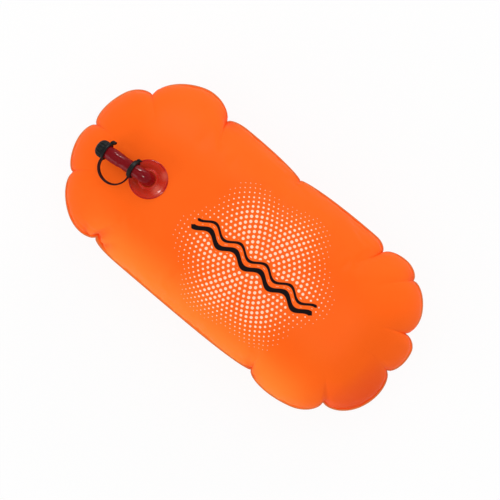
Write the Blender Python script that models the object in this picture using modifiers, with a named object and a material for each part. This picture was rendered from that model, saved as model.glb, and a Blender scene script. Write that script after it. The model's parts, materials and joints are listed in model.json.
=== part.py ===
"""Open water swim buoy: a welded air bag with a flexible oral valve on top and a tow ring below.

Units are metres and +Z is up. The bag lies on its lower panel with its long side along X and
the valve at its +X end. The origin is under the middle of the bag, on the surface it lies on.
"""

import math

import bmesh
import bpy
from mathutils import Matrix, Vector

# Clearances
TOUCH_GAP = 0.0003
CUT_OVERRUN = 0.002
MERGE_DISTANCE = 0.000001

# Air bag
BAG_LENGTH = 0.460
BAG_WIDTH = 0.2285
BAG_THICKNESS = 0.165
SHEET_THICKNESS = 0.0006
WELD_MARGIN = 0.003
EDGE_STEP = 0.0095
DOME_RINGS = 8

# One row for each lobe of the welded edge, anticlockwise from the valve end: the notch that it
# starts from, across half the length and half the width, its bulge over its chord, and how far
# along the chord it bulges most
LOBE_SHARES = (
    (0.846, -0.631, 0.240, 0.38),
    (0.972, -0.024, 0.204, 0.45),
    (0.909, 0.509, 0.261, 0.57),
    (0.611, 0.881, 0.031, 0.25),
    (-0.416, 0.905, 0.219, 0.63),
    (-0.803, 0.690, 0.289, 0.47),
    (-0.949, 0.011, 0.329, 0.65),
    (-0.899, -0.407, 0.255, 0.44),
    (-0.763, -0.879, 0.255, 0.44),
    (-0.552, -0.897, 0.080, 0.14),
    (0.000, -0.925, 0.072, 0.78),
    (0.474, -0.915, 0.308, 0.42),
)
LOBE_FULLNESS_SHARE = 0.6
LOBE_POWER = 2
LONG_LOBE_POWER = 4
LONG_LOBE_SHARE = 0.4
LEAST_LOBE_STEPS = 5
CROWDING_SHARE = 0.55

# The rounded outline that the lobes fade into, and the crown, as shares of the bag's half sizes
ROUNDED_SHARE = 0.955
ROUNDED_POWER = 4
CROWN_LENGTH_SHARE = 0.63
CROWN_WIDTH_SHARE = 0.25
LOBE_FADE_POWER = 2

# Valve flange and its place on the crown, from the valve end of the bag
VALVE_INSET = 0.102
VALVE_Y = 0.0109
VALVE_AIM = math.radians(5.8)
FLANGE_RADIUS = 0.022
FLANGE_EDGE = 0.0008
FLANGE_ROOT = 0.0016
BOSS_RADIUS = 0.011
BOSS_HEIGHT = 0.005
BOSS_ROUNDING = 0.0008
SOCKET_FLOOR = 0.0018
AIR_HOLE_RADIUS = 0.005

# Oral tube: a leg that stands in the boss, a bend, and a straight run that droops to the bag
TUBE_RADIUS = 0.0075
TUBE_BORE_RADIUS = 0.005
LEG_TOP = 0.0065
BEND_RADIUS = 0.010
TUBE_DROOP = math.radians(12)
TUBE_LENGTH = 0.0468
BEND_STEPS = 9
BEND_STUB = 0.002

# Cap retainer ring on the tube
RING_PLACE = 0.0045
RING_WIDTH = 0.005
RING_WALL = 0.0026
RING_TAB_REACH = 0.0018
RING_TAB_WIDTH = 0.004
RING_TAB_LENGTH = 0.003

# Dust cap over the tube's tip
CAP_COVER = 0.0075
CAP_WALL = 0.0024
CAP_TOP = 0.0016
CAP_HEADROOM = 0.0026
CAP_FLUTES = 16
CAP_FLUTE_DEPTH = 0.0006
CAP_CROWN_RADIUS = 0.0045
CAP_TAB_REACH = 0.0035
CAP_TAB_WIDTH = 0.006
CAP_TAB_THICKNESS = 0.0022

# Strap from the ring to the cap
STRAP_REACH = 0.0183
STRAP_SAG = 0.005
STRAP_RADIUS = 0.00105
STRAP_ROOT_RADIUS = 0.0016
STRAP_STEPS = 18
STRAP_CAP_PLACE = 0.0018

# Check valve in the tube's tip
LIP_THICKNESS = 0.0015
BARREL_LENGTH = 0.014
BARREL_WALL = 0.0008
SEAT_THICKNESS = 0.0012
SEAT_HOLE_RADIUS = 0.0026
HUB_PLACE = 0.005
HUB_LENGTH = 0.0018
HUB_RADIUS = 0.0025
SPOKE_COUNT = 3
SPOKE_WIDTH = 0.0012
STEM_RADIUS = 0.0010
POPPET_DISC_RADIUS = 0.0037
POPPET_DISC_THICKNESS = 0.0012
SEAL_THICKNESS = 0.0008
SEAL_RADIUS = 0.0036
BUTTON_RADIUS = 0.0031
BUTTON_THICKNESS = 0.0022
BUTTON_PROUD = 0.0008
BUTTON_SOCKET_DEPTH = 0.0012
SPRING_WIRE_RADIUS = 0.00022
SPRING_RADIUS = 0.0019
SPRING_TURNS = 4
SPRING_STEPS = 12

# Tow patch, webbing loop and D-ring under the valve end
TOW_INSET = 0.045
TOW_PATCH_RADIUS = 0.021
TOW_PATCH_THICKNESS = 0.0008
WEBBING_WIDTH = 0.020
WEBBING_THICKNESS = 0.0012
WEBBING_TAIL = 0.030
WEBBING_STEPS = 7
ACROSS_STEPS = 6
FOLD_TURN = math.radians(215)
FOLD_STEPS = 14
D_WIRE_RADIUS = 0.00175
D_DEPTH = 0.0165
D_CORNER = 0.0025
D_CORNER_STEPS = 4
D_BOW_STEPS = 12

# Facets of turned pieces
LARGE_FACETS = 36
SMALL_FACETS = 24
TUBE_BEVEL_STEPS = 6

SEAM_HEIGHT = BAG_THICKNESS / 2
VALVE_X = BAG_LENGTH / 2 - VALVE_INSET
TOW_X = BAG_LENGTH / 2 - TOW_INSET
COLLECTION_NAME = "open_water_swim_buoy"


def clear_scene():
    """Removes what the file opened with and makes the two collections."""
    for thing in list(bpy.data.objects):
        bpy.data.objects.remove(thing, do_unlink=True)
    made = []
    for name in (COLLECTION_NAME, "cutters"):
        collection = bpy.data.collections.new(name)
        bpy.context.scene.collection.children.link(collection)
        made.append(collection)
    return made


def finish_of(name, colour, roughness, metallic=0.0, transmission=0.0):
    """A Principled material."""
    material = bpy.data.materials.new(name)
    material.use_nodes = True
    shader = material.node_tree.nodes["Principled BSDF"]
    shader.inputs["Base Color"].default_value = (*colour, 1.0)
    shader.inputs["Roughness"].default_value = roughness
    shader.inputs["Metallic"].default_value = metallic
    shader.inputs["Transmission Weight"].default_value = transmission
    material.diffuse_color = (*colour, 1.0)
    return material


PARTS, CUTTERS = clear_scene()
COATED_SHEET = finish_of("coated_sheet", (1.0, 0.14, 0.01), 0.45)
CLEAR_RED = finish_of("clear_red_soft_plastic", (0.35, 0.01, 0.01), 0.12, transmission=0.3)
BLACK_RUBBER = finish_of("black_rubber", (0.015, 0.016, 0.015), 0.5)
WHITE_PLASTIC = finish_of("white_plastic", (0.8, 0.8, 0.78), 0.35)
SEAL_RUBBER = finish_of("seal_rubber", (0.03, 0.03, 0.03), 0.6)
SPRING_STEEL = finish_of("spring_steel", (0.6, 0.6, 0.62), 0.25, metallic=1.0)
BLACK_WEBBING = finish_of("black_webbing", (0.02, 0.02, 0.022), 0.8)
BLACK_PLASTIC = finish_of("black_plastic", (0.02, 0.02, 0.02), 0.4)


def piece(name, mesh, material, parent=None, smooth=True):
    """An object of the part, on its parent's axes."""
    thing = bpy.data.objects.new(name, mesh)
    PARTS.objects.link(thing)
    thing.parent = parent
    mesh.materials.append(material)
    if smooth:
        mesh.shade_smooth()
    return thing


def cutter(name, mesh, parent=None):
    """A solid that only cuts or joins."""
    thing = bpy.data.objects.new(name, mesh)
    CUTTERS.objects.link(thing)
    thing.parent = parent
    thing.hide_render = True
    thing.display_type = "WIRE"
    return thing


def axes(name, location, rotation=(0, 0, 0), parent=None):
    """An empty that carries the pieces of one axis."""
    empty = bpy.data.objects.new(name, None)
    PARTS.objects.link(empty)
    empty.parent = parent
    empty.location = location
    empty.rotation_euler = rotation
    empty.empty_display_size = TUBE_RADIUS
    return empty


def combine(thing, other, operation):
    """Cuts or joins a piece with another solid."""
    modifier = thing.modifiers.new(operation.lower(), "BOOLEAN")
    modifier.operation = operation
    modifier.solver = "EXACT"
    modifier.object = other


def turned(profile, steps, closed=True):
    """The mesh of a profile of (radius, height) turned about Z. Its outer side runs downwards."""
    mesh = bpy.data.meshes.new("turned")
    count = len(profile)
    edges = [(n, n + 1) for n in range(count - 1)]
    if closed:
        edges.append((count - 1, 0))
    mesh.from_pydata([(radius, 0, height) for radius, height in profile], edges, [])
    guide = bpy.data.objects.new("turned_guide", mesh)
    CUTTERS.objects.link(guide)
    screw = guide.modifiers.new("turn", "SCREW")
    screw.steps = steps
    screw.render_steps = steps
    screw.use_merge_vertices = True
    screw.merge_threshold = MERGE_DISTANCE
    made = bpy.data.meshes.new_from_object(guide.evaluated_get(bpy.context.evaluated_depsgraph_get()))
    bpy.data.objects.remove(guide, do_unlink=True)
    bpy.data.meshes.remove(mesh)
    return made


def swept(points, radius, closed=False, bevel_steps=2, radii=None):
    """The mesh of a round bar along points."""
    curve = bpy.data.curves.new("sweep", "CURVE")
    curve.dimensions = "3D"
    curve.bevel_depth = radius
    curve.bevel_resolution = bevel_steps
    curve.use_fill_caps = not closed
    spline = curve.splines.new("POLY")
    spline.points.add(len(points) - 1)
    for n, (control, point) in enumerate(zip(spline.points, points)):
        control.co = (*point, 1)
        control.radius = radii[n] / radius if radii else 1
    spline.use_cyclic_u = closed
    guide = bpy.data.objects.new("sweep_guide", curve)
    CUTTERS.objects.link(guide)
    made = bpy.data.meshes.new_from_object(guide.evaluated_get(bpy.context.evaluated_depsgraph_get()))
    bpy.data.objects.remove(guide, do_unlink=True)
    bpy.data.curves.remove(curve)
    work = bmesh.new()
    work.from_mesh(made)
    bmesh.ops.remove_doubles(work, verts=work.verts, dist=MERGE_DISTANCE)
    bmesh.ops.recalc_face_normals(work, faces=work.faces)
    work.to_mesh(made)
    work.free()
    return made


def box_mesh(low, high):
    """The mesh of a box between two corners."""
    mesh = bpy.data.meshes.new("box")
    work = bmesh.new()
    bmesh.ops.create_cube(work, size=1)
    size = Vector(high) - Vector(low)
    middle = (Vector(high) + Vector(low)) / 2
    work.transform(Matrix.Translation(middle) @ Matrix.Diagonal((*size, 1)))
    work.to_mesh(mesh)
    work.free()
    return mesh


def lofted(rings, close_start=False, close_end=True):
    """The mesh that one closed edge loop makes when it is extruded through rings of points."""
    mesh = bpy.data.meshes.new("loft")
    work = bmesh.new()
    loop = [work.verts.new(point) for point in rings[0]]
    edges = [work.edges.new(pair) for pair in zip(loop, loop[1:] + loop[:1])]
    if close_start:
        bmesh.ops.contextual_create(work, geom=edges)
    for ring in rings[1:]:
        place = {vert: n for n, vert in enumerate(loop)}
        grown = bmesh.ops.extrude_edge_only(work, edges=edges)["geom"]
        edges = [g for g in grown if isinstance(g, bmesh.types.BMEdge)]
        edges = [edge for edge in edges if not place.keys() & set(edge.verts)]
        for vert in (g for g in grown if isinstance(g, bmesh.types.BMVert)):
            under = next(e.other_vert(vert) for e in vert.link_edges if e.other_vert(vert) in place)
            number = place[under]
            vert.co = ring[number]
            loop[number] = vert
    if close_end:
        bmesh.ops.contextual_create(work, geom=edges)
    bmesh.ops.recalc_face_normals(work, faces=work.faces)
    work.to_mesh(mesh)
    work.free()
    return mesh


def lobed_outline():
    """Points of the welded edge in plan, anticlockwise, and the turn of each one round the bag."""
    half_length = BAG_LENGTH / 2
    half_width = BAG_WIDTH / 2
    notches = [Vector((x * half_length, y * half_width)) for x, y, _, _ in LOBE_SHARES]
    notch_turns = [math.atan2(y, x) for x, y, _, _ in LOBE_SHARES]
    points = []
    turns = []
    for n, (_, _, bulge, peak) in enumerate(LOBE_SHARES):
        start = notches[n]
        following = (n + 1) % len(notches)
        chord = notches[following] - start
        turn = (notch_turns[following] - notch_turns[n]) % math.tau
        outward = Vector((chord.y, -chord.x))
        power = LONG_LOBE_POWER if chord.length > LONG_LOBE_SHARE * BAG_LENGTH else LOBE_POWER
        steps = max(LEAST_LOBE_STEPS, round(chord.length / EDGE_STEP))
        for step in range(steps):
            share = step / steps
            along = share - CROWDING_SHARE * math.sin(math.tau * share) / math.tau
            off_peak = abs(along - peak) / (peak if along < peak else 1 - peak)
            rise = bulge * max(0, 1 - off_peak**power) ** LOBE_FULLNESS_SHARE
            points.append(start + along * chord + rise * outward)
            turns.append(notch_turns[n] + along * turn)
    low = Vector((min(p.x for p in points), min(p.y for p in points)))
    high = Vector((max(p.x for p in points), max(p.y for p in points)))
    middle = (low + high) / 2
    span = high - low
    fitted = [
        Vector(((p.x - middle.x) * BAG_LENGTH / span.x, (p.y - middle.y) * BAG_WIDTH / span.y))
        for p in points
    ]
    return fitted, turns


def panel_rings(side):
    """Rings of the outer face of one panel, from its welded edge to its crown. side is 1 or -1."""
    edge_height = TOUCH_GAP / 2 + SHEET_THICKNESS
    rise = BAG_THICKNESS / 2 - edge_height
    half_length = ROUNDED_SHARE * BAG_LENGTH / 2
    half_width = ROUNDED_SHARE * BAG_WIDTH / 2
    rings = [[] for _ in range(DOME_RINGS + 2)]
    for point, turn in zip(*lobed_outline()):
        sum_of_powers = abs(math.cos(turn)) ** ROUNDED_POWER + abs(math.sin(turn)) ** ROUNDED_POWER
        reach = sum_of_powers ** (1 / ROUNDED_POWER)
        rounded = Vector((half_length * math.cos(turn) / reach, half_width * math.sin(turn) / reach))
        crown = Vector((rounded.x * CROWN_LENGTH_SHARE, rounded.y * CROWN_WIDTH_SHARE))
        inner = point + (crown - point).normalized() * WELD_MARGIN
        rings[0].append(Vector((*point, SEAM_HEIGHT + side * edge_height)))
        for number in range(DOME_RINGS + 1):
            climb = math.radians(90) * number / DOME_RINGS
            out = math.cos(climb)
            plan = crown + out * (rounded - crown) + out**LOBE_FADE_POWER * (inner - rounded)
            height = SEAM_HEIGHT + side * (edge_height + rise * math.sin(climb))
            rings[number + 1].append(Vector((*plan, height)))
    return rings


def panel_mesh(side):
    """The outer face of one panel, pointing out."""
    mesh = lofted(panel_rings(side))
    crown = max(mesh.polygons, key=lambda face: face.area)
    if crown.normal.z * side < 0:
        mesh.flip_normals()
    return mesh


def build_panel(name, side):
    """One sheet of the bag: a flat welded edge and a lobed dome."""
    panel = piece(name, panel_mesh(side), COATED_SHEET)
    wall = panel.modifiers.new("sheet", "SOLIDIFY")
    wall.thickness = SHEET_THICKNESS
    wall.offset = -1
    wall.use_even_offset = True
    return panel


def build_bag():
    """The two welded panels, with the valve's air hole through the upper one."""
    upper = build_panel("upper_panel", 1)
    lower = build_panel("lower_panel", -1)
    low = BAG_THICKNESS - SHEET_THICKNESS - CUT_OVERRUN
    high = BAG_THICKNESS + CUT_OVERRUN
    profile = [(0, high), (AIR_HOLE_RADIUS, high), (AIR_HOLE_RADIUS, low), (0, low)]
    hole = cutter("air_hole", turned(profile, SMALL_FACETS, closed=False))
    hole.location = (VALVE_X, VALVE_Y, 0)
    combine(upper, hole, "DIFFERENCE")
    return lower


def build_flange(valve):
    """The welded disc and the boss that the tube's leg stands in."""
    socket = TUBE_RADIUS + TOUCH_GAP
    rounded = BOSS_RADIUS - BOSS_ROUNDING
    profile = [
        (socket, BOSS_HEIGHT),
        (rounded, BOSS_HEIGHT),
        (BOSS_RADIUS, BOSS_HEIGHT - BOSS_ROUNDING),
        (BOSS_RADIUS, FLANGE_ROOT + BOSS_ROUNDING),
        (BOSS_RADIUS + BOSS_ROUNDING, FLANGE_ROOT),
        (FLANGE_RADIUS, FLANGE_EDGE),
        (FLANGE_RADIUS, 0),
        (AIR_HOLE_RADIUS, 0),
        (AIR_HOLE_RADIUS, SOCKET_FLOOR),
        (socket, SOCKET_FLOOR),
    ]
    piece("valve_flange", turned(profile, LARGE_FACETS), CLEAR_RED, valve)


def bend_path(start_lift):
    """Centre line of the tube's leg, bend and stub, in the valve's axes."""
    path = [Vector((0, 0, start_lift))]
    turn = math.radians(90) + TUBE_DROOP
    for step in range(BEND_STEPS + 1):
        angle = turn * step / BEND_STEPS
        path.append(Vector((
            BEND_RADIUS - BEND_RADIUS * math.cos(angle),
            0,
            LEG_TOP + BEND_RADIUS * math.sin(angle),
        )))
    path.append(path[-1] + BEND_STUB * Vector((math.sin(turn), 0, math.cos(turn))))
    return path


def build_elbow(valve):
    """The bend between the boss and the straight tube, bored through."""
    path = bend_path(SOCKET_FLOOR + TOUCH_GAP)
    elbow = piece("tube_elbow", swept(path, TUBE_RADIUS, bevel_steps=TUBE_BEVEL_STEPS), CLEAR_RED, valve)
    beyond = (path[-1] - path[-2]).normalized() * CUT_OVERRUN
    longer = [path[0] - Vector((0, 0, CUT_OVERRUN)), *path, path[-1] + beyond]
    bore = cutter("elbow_bore", swept(longer, TUBE_BORE_RADIUS, bevel_steps=TUBE_BEVEL_STEPS), valve)
    combine(elbow, bore, "DIFFERENCE")


def build_tube(line):
    """The straight run of the oral tube."""
    profile = [
        (TUBE_BORE_RADIUS, TUBE_LENGTH),
        (TUBE_RADIUS, TUBE_LENGTH),
        (TUBE_RADIUS, 0),
        (TUBE_BORE_RADIUS, 0),
    ]
    piece("oral_tube", turned(profile, SMALL_FACETS), CLEAR_RED, line)


def build_retainer_ring(line):
    """The ring that keeps the cap's strap on the tube, with its pull tab."""
    inner = TUBE_RADIUS + TOUCH_GAP
    outer = inner + RING_WALL
    low = RING_PLACE - RING_WIDTH / 2
    high = RING_PLACE + RING_WIDTH / 2
    profile = [(inner, high), (outer, high), (outer, low), (inner, low)]
    ring = piece("cap_retainer_ring", turned(profile, SMALL_FACETS), BLACK_RUBBER, line)
    tab = cutter("ring_tab", box_mesh(
        (-RING_TAB_WIDTH / 2, -outer - RING_TAB_REACH, RING_PLACE - RING_TAB_LENGTH / 2),
        (RING_TAB_WIDTH / 2, -outer + RING_WALL / 2, RING_PLACE + RING_TAB_LENGTH / 2),
    ), line)
    combine(ring, tab, "UNION")


def cap_start():
    """Where the dust cap's open end lies along the tube."""
    return TUBE_LENGTH - CAP_COVER


def cap_radius():
    """The dust cap's outer radius, over its flutes."""
    return TUBE_RADIUS + TOUCH_GAP + CAP_WALL


def fluted_section(radius, depth, height):
    """One section of the cap: a circle with rounded flutes."""
    count = 4 * CAP_FLUTES
    ring = []
    for n in range(count):
        angle = math.tau * n / count
        dip = depth * (1 - math.cos(CAP_FLUTES * angle)) / 2
        ring.append(Vector(((radius - dip) * math.cos(angle), (radius - dip) * math.sin(angle), height)))
    return ring


def build_cap(line):
    """The fluted dust cap with its lift tab, hollow over the tube's tip."""
    start = cap_start()
    outer = cap_radius()
    cavity = CAP_COVER + TOUCH_GAP + LIP_THICKNESS + CAP_HEADROOM
    length = cavity + CAP_TOP
    shoulder = CAP_COVER
    rings = [
        fluted_section(outer - CAP_FLUTE_DEPTH, 0, start),
        fluted_section(outer, CAP_FLUTE_DEPTH, start + CAP_FLUTE_DEPTH),
        fluted_section(outer, CAP_FLUTE_DEPTH, start + shoulder),
    ]
    for share in (1 / 3, 2 / 3, 1):
        angle = math.radians(90) * share
        radius = CAP_CROWN_RADIUS + (outer - CAP_CROWN_RADIUS) * math.cos(angle)
        height = start + shoulder + (length - shoulder) * math.sin(angle)
        rings.append(fluted_section(radius, CAP_FLUTE_DEPTH * (1 - share), height))
    cap = piece("dust_cap", lofted(rings, close_start=True), BLACK_RUBBER, line)
    tab_low = start + CAP_FLUTE_DEPTH
    tab = cutter("cap_lift_tab", box_mesh(
        (-CAP_TAB_WIDTH / 2, -outer - CAP_TAB_REACH, tab_low),
        (CAP_TAB_WIDTH / 2, -outer + CAP_WALL / 2, tab_low + CAP_TAB_THICKNESS),
    ), line)
    combine(cap, tab, "UNION")
    inner = TUBE_RADIUS + TOUCH_GAP
    roof = start + cavity
    throat = TUBE_LENGTH + TOUCH_GAP + LIP_THICKNESS
    profile = [
        (0, roof),
        (BUTTON_RADIUS + TOUCH_GAP, roof),
        (inner, throat),
        (inner, start - CUT_OVERRUN),
        (0, start - CUT_OVERRUN),
    ]
    hollow = cutter("cap_hollow", turned(profile, SMALL_FACETS, closed=False), line)
    combine(cap, hollow, "DIFFERENCE")


def build_strap(line):
    """The strap: half an ellipse beside the tube, from the ring to the cap, sagging between."""
    ring_side = TUBE_RADIUS + TOUCH_GAP + RING_WALL + TOUCH_GAP
    cap_side = cap_radius() + TOUCH_GAP
    ring_end = RING_PLACE
    cap_end = cap_start() + STRAP_CAP_PLACE
    path = []
    radii = []
    for step in range(STRAP_STEPS + 1):
        share = step / STRAP_STEPS
        angle = math.pi * share
        base = ring_side + (cap_side - ring_side) * share
        along = (ring_end + cap_end) / 2 - (cap_end - ring_end) / 2 * math.cos(angle)
        path.append(Vector((
            STRAP_SAG * math.sin(angle) ** 2,
            base + STRAP_REACH * math.sin(angle),
            along,
        )))
        radii.append(STRAP_RADIUS + (STRAP_ROOT_RADIUS - STRAP_RADIUS) * share**2)
    piece("cap_strap", swept(path, STRAP_RADIUS, bevel_steps=2, radii=radii), BLACK_RUBBER, line)


def build_check_valve(line):
    """Housing, poppet, seal, spring and mouth button of the check valve in the tube's tip."""
    lip_low = TUBE_LENGTH + TOUCH_GAP
    lip_high = lip_low + LIP_THICKNESS
    barrel = TUBE_BORE_RADIUS - TOUCH_GAP
    bore = barrel - BARREL_WALL
    foot = lip_low - BARREL_LENGTH
    seat = foot + SEAT_THICKNESS
    profile = [
        (bore, lip_high),
        (TUBE_RADIUS - TOUCH_GAP, lip_high),
        (TUBE_RADIUS - TOUCH_GAP, lip_low),
        (barrel, lip_low),
        (barrel, foot),
        (SEAT_HOLE_RADIUS, foot),
        (SEAT_HOLE_RADIUS, seat),
        (bore, seat),
    ]
    housing = piece("valve_housing", turned(profile, SMALL_FACETS), WHITE_PLASTIC, line)
    hub_low = foot + HUB_PLACE
    hub_high = hub_low + HUB_LENGTH
    guide = STEM_RADIUS + TOUCH_GAP
    hub = cutter("stem_hub", turned([
        (guide, hub_high),
        (HUB_RADIUS, hub_high),
        (HUB_RADIUS, hub_low),
        (guide, hub_low),
    ], SMALL_FACETS), line)
    for number in range(SPOKE_COUNT):
        spoke = cutter(f"hub_spoke_{number + 1}", box_mesh(
            (HUB_RADIUS - SPOKE_WIDTH / 2, -SPOKE_WIDTH / 2, hub_low),
            (bore + BARREL_WALL / 2, SPOKE_WIDTH / 2, hub_high),
        ), line)
        spoke.rotation_euler = (0, 0, math.tau * number / SPOKE_COUNT)
        combine(housing, spoke, "UNION")
    combine(housing, hub, "UNION")

    button_high = lip_high + BUTTON_PROUD
    button_low = button_high - BUTTON_THICKNESS
    stem_top = button_low + BUTTON_SOCKET_DEPTH - TOUCH_GAP
    disc_high = foot - TOUCH_GAP - SEAL_THICKNESS - TOUCH_GAP
    disc_low = disc_high - POPPET_DISC_THICKNESS
    piece("valve_poppet", turned([
        (0, stem_top),
        (STEM_RADIUS, stem_top),
        (STEM_RADIUS, disc_high),
        (POPPET_DISC_RADIUS, disc_high),
        (POPPET_DISC_RADIUS, disc_low),
        (0, disc_low),
    ], SMALL_FACETS, closed=False), WHITE_PLASTIC, line)
    seal_high = foot - TOUCH_GAP
    seal_low = seal_high - SEAL_THICKNESS
    piece("poppet_seal", turned([
        (STEM_RADIUS + TOUCH_GAP, seal_high),
        (SEAL_RADIUS, seal_high),
        (SEAL_RADIUS, seal_low),
        (STEM_RADIUS + TOUCH_GAP, seal_low),
    ], SMALL_FACETS), SEAL_RUBBER, line)
    socket_high = button_low + BUTTON_SOCKET_DEPTH
    piece("mouth_button", turned([
        (0, button_high),
        (BUTTON_RADIUS, button_high),
        (BUTTON_RADIUS, button_low),
        (STEM_RADIUS + TOUCH_GAP, button_low),
        (STEM_RADIUS + TOUCH_GAP, socket_high),
        (0, socket_high),
    ], SMALL_FACETS, closed=False), WHITE_PLASTIC, line)
    build_spring(line, hub_high, button_low)


def build_spring(line, low, high):
    """The poppet's return spring, one open coil between the hub and the mouth button."""
    first = low + TOUCH_GAP + SPRING_WIRE_RADIUS
    last = high - TOUCH_GAP - SPRING_WIRE_RADIUS
    count = SPRING_TURNS * SPRING_STEPS
    path = []
    for step in range(count + 1):
        angle = math.tau * step / SPRING_STEPS
        path.append(Vector((
            SPRING_RADIUS * math.cos(angle),
            SPRING_RADIUS * math.sin(angle),
            first + (last - first) * step / count,
        )))
    piece("poppet_spring", swept(path, SPRING_WIRE_RADIUS, bevel_steps=1), SPRING_STEEL, line)


def build_valve():
    """The oral valve on the crown of the bag."""
    valve = axes("valve_axes", (VALVE_X, VALVE_Y, BAG_THICKNESS + TOUCH_GAP), (0, 0, VALVE_AIM))
    build_flange(valve)
    build_elbow(valve)
    bend = axes("tube_flex_axes", (BEND_RADIUS, 0, LEG_TOP), (0, TUBE_DROOP, 0), valve)
    line = axes("tube_line_axes", (BEND_STUB + TOUCH_GAP, 0, BEND_RADIUS), (0, math.radians(90), 0), bend)
    build_tube(line)
    build_retainer_ring(line)
    build_strap(line)
    build_cap(line)
    build_check_valve(line)


def underside_line(panel, start_x, end_x, half_width):
    """The lowest places of the lower panel across half_width, from start_x to end_x."""
    seen = panel.evaluated_get(bpy.context.evaluated_depsgraph_get())
    line = []
    for n in range(WEBBING_STEPS + 1):
        x = start_x + (end_x - start_x) * n / WEBBING_STEPS
        heights = []
        for m in range(-ACROSS_STEPS, ACROSS_STEPS + 1):
            below = Vector((x, half_width * m / ACROSS_STEPS, -BAG_THICKNESS))
            heights.append(seen.ray_cast(below, Vector((0, 0, 1)))[1].z)
        line.append(Vector((x, 0, min(heights))))
    return line


def beside(path, distance):
    """A line in the XZ plane moved sideways, to the right of its own direction."""
    moved = []
    for n, point in enumerate(path):
        along = (path[min(n + 1, len(path) - 1)] - path[max(n - 1, 0)]).normalized()
        moved.append(point + Vector((along.z, 0, -along.x)) * distance)
    return moved


def build_tow_patch():
    """The round welded patch: a disc of a sheet that follows the lower panel."""
    patch = piece("tow_patch", panel_mesh(-1), COATED_SHEET)
    wall = patch.modifiers.new("sheet", "SOLIDIFY")
    wall.thickness = TOW_PATCH_THICKNESS
    wall.offset = 1 + 2 * TOUCH_GAP / TOW_PATCH_THICKNESS
    wall.use_even_offset = True
    low = -CUT_OVERRUN
    profile = [(0, SEAM_HEIGHT), (TOW_PATCH_RADIUS, SEAM_HEIGHT), (TOW_PATCH_RADIUS, low), (0, low)]
    disc = cutter("tow_patch_disc", turned(profile, SMALL_FACETS, closed=False))
    disc.location = (TOW_X, 0, 0)
    combine(patch, disc, "INTERSECT")


def build_tow_loop(panel):
    """The webbing that is folded round the D-ring's bar and sewn to the patch, and the D-ring."""
    loop_radius = D_WIRE_RADIUS + TOUCH_GAP + WEBBING_THICKNESS / 2
    first_lift = TOUCH_GAP + TOW_PATCH_THICKNESS + 2 * TOUCH_GAP + WEBBING_THICKNESS / 2
    second_lift = first_lift + WEBBING_THICKNESS + TOUCH_GAP
    half_width = WEBBING_WIDTH / 2 + D_CORNER + D_WIRE_RADIUS
    base = underside_line(panel, TOW_X - WEBBING_TAIL / 2, TOW_X + WEBBING_TAIL / 2, half_width)
    first_layer = beside(base, first_lift)
    second_layer = beside(base, second_lift)
    ahead = (base[-1] - base[-2]).normalized()
    away = Vector((ahead.z, 0, -ahead.x))
    bar = first_layer[-1] + away * loop_radius + ahead * D_WIRE_RADIUS
    fold = []
    for n in range(FOLD_STEPS + 1):
        angle = FOLD_TURN * n / FOLD_STEPS - math.radians(90)
        fold.append(bar + loop_radius * (ahead * math.cos(angle) + away * math.sin(angle)))
    path = [*first_layer, *fold, *second_layer[-2::-1]]
    outline = beside(path, WEBBING_THICKNESS / 2) + beside(path, -WEBBING_THICKNESS / 2)[::-1]
    rings = [[Vector((p.x, y, p.z)) for p in outline] for y in (-WEBBING_WIDTH / 2, WEBBING_WIDTH / 2)]
    piece("tow_webbing", lofted(rings, close_start=True), BLACK_WEBBING, smooth=False)
    build_d_ring(axes("tow_ring_axes", bar))


def build_d_ring(hinge):
    """The D-ring, hanging from its straight bar."""
    half = WEBBING_WIDTH / 2 + TOUCH_GAP + D_CORNER
    path = []
    for side in (1, -1):
        corner = []
        for n in range(D_CORNER_STEPS + 1):
            angle = math.radians(90) * n / D_CORNER_STEPS
            corner.append(Vector((
                0,
                side * (half - D_CORNER + D_CORNER * math.sin(angle)),
                -D_CORNER + D_CORNER * math.cos(angle),
            )))
        path.extend(corner if side > 0 else corner[::-1])
        if side > 0:
            for n in range(1, D_BOW_STEPS):
                angle = math.pi * n / D_BOW_STEPS
                path.append(Vector((
                    0,
                    half * math.cos(angle),
                    -D_CORNER - (D_DEPTH - D_CORNER) * math.sin(angle),
                )))
    piece("tow_d_ring", swept(path, D_WIRE_RADIUS, closed=True, bevel_steps=3), BLACK_PLASTIC, hinge)


def main():
    """Builds the whole buoy."""
    lower = build_bag()
    build_valve()
    bpy.context.view_layer.update()
    build_tow_patch()
    build_tow_loop(lower)


main()
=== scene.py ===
"""Looks of the open water swim buoy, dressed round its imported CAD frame.

Everything is in metres in the frame of the CAD. The bag lies along X with its valve at the +X end,
the cap's strap loops over towards +Y, and +Z is up.
"""

import json
import logging
import math
from collections.abc import Callable, Sequence
from dataclasses import dataclass, field, replace
from enum import Enum

import bmesh
import bpy
import numpy as np
from mathutils import Matrix, Vector, noise
from mathutils.bvhtree import BVHTree
from mathutils.kdtree import KDTree


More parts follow.
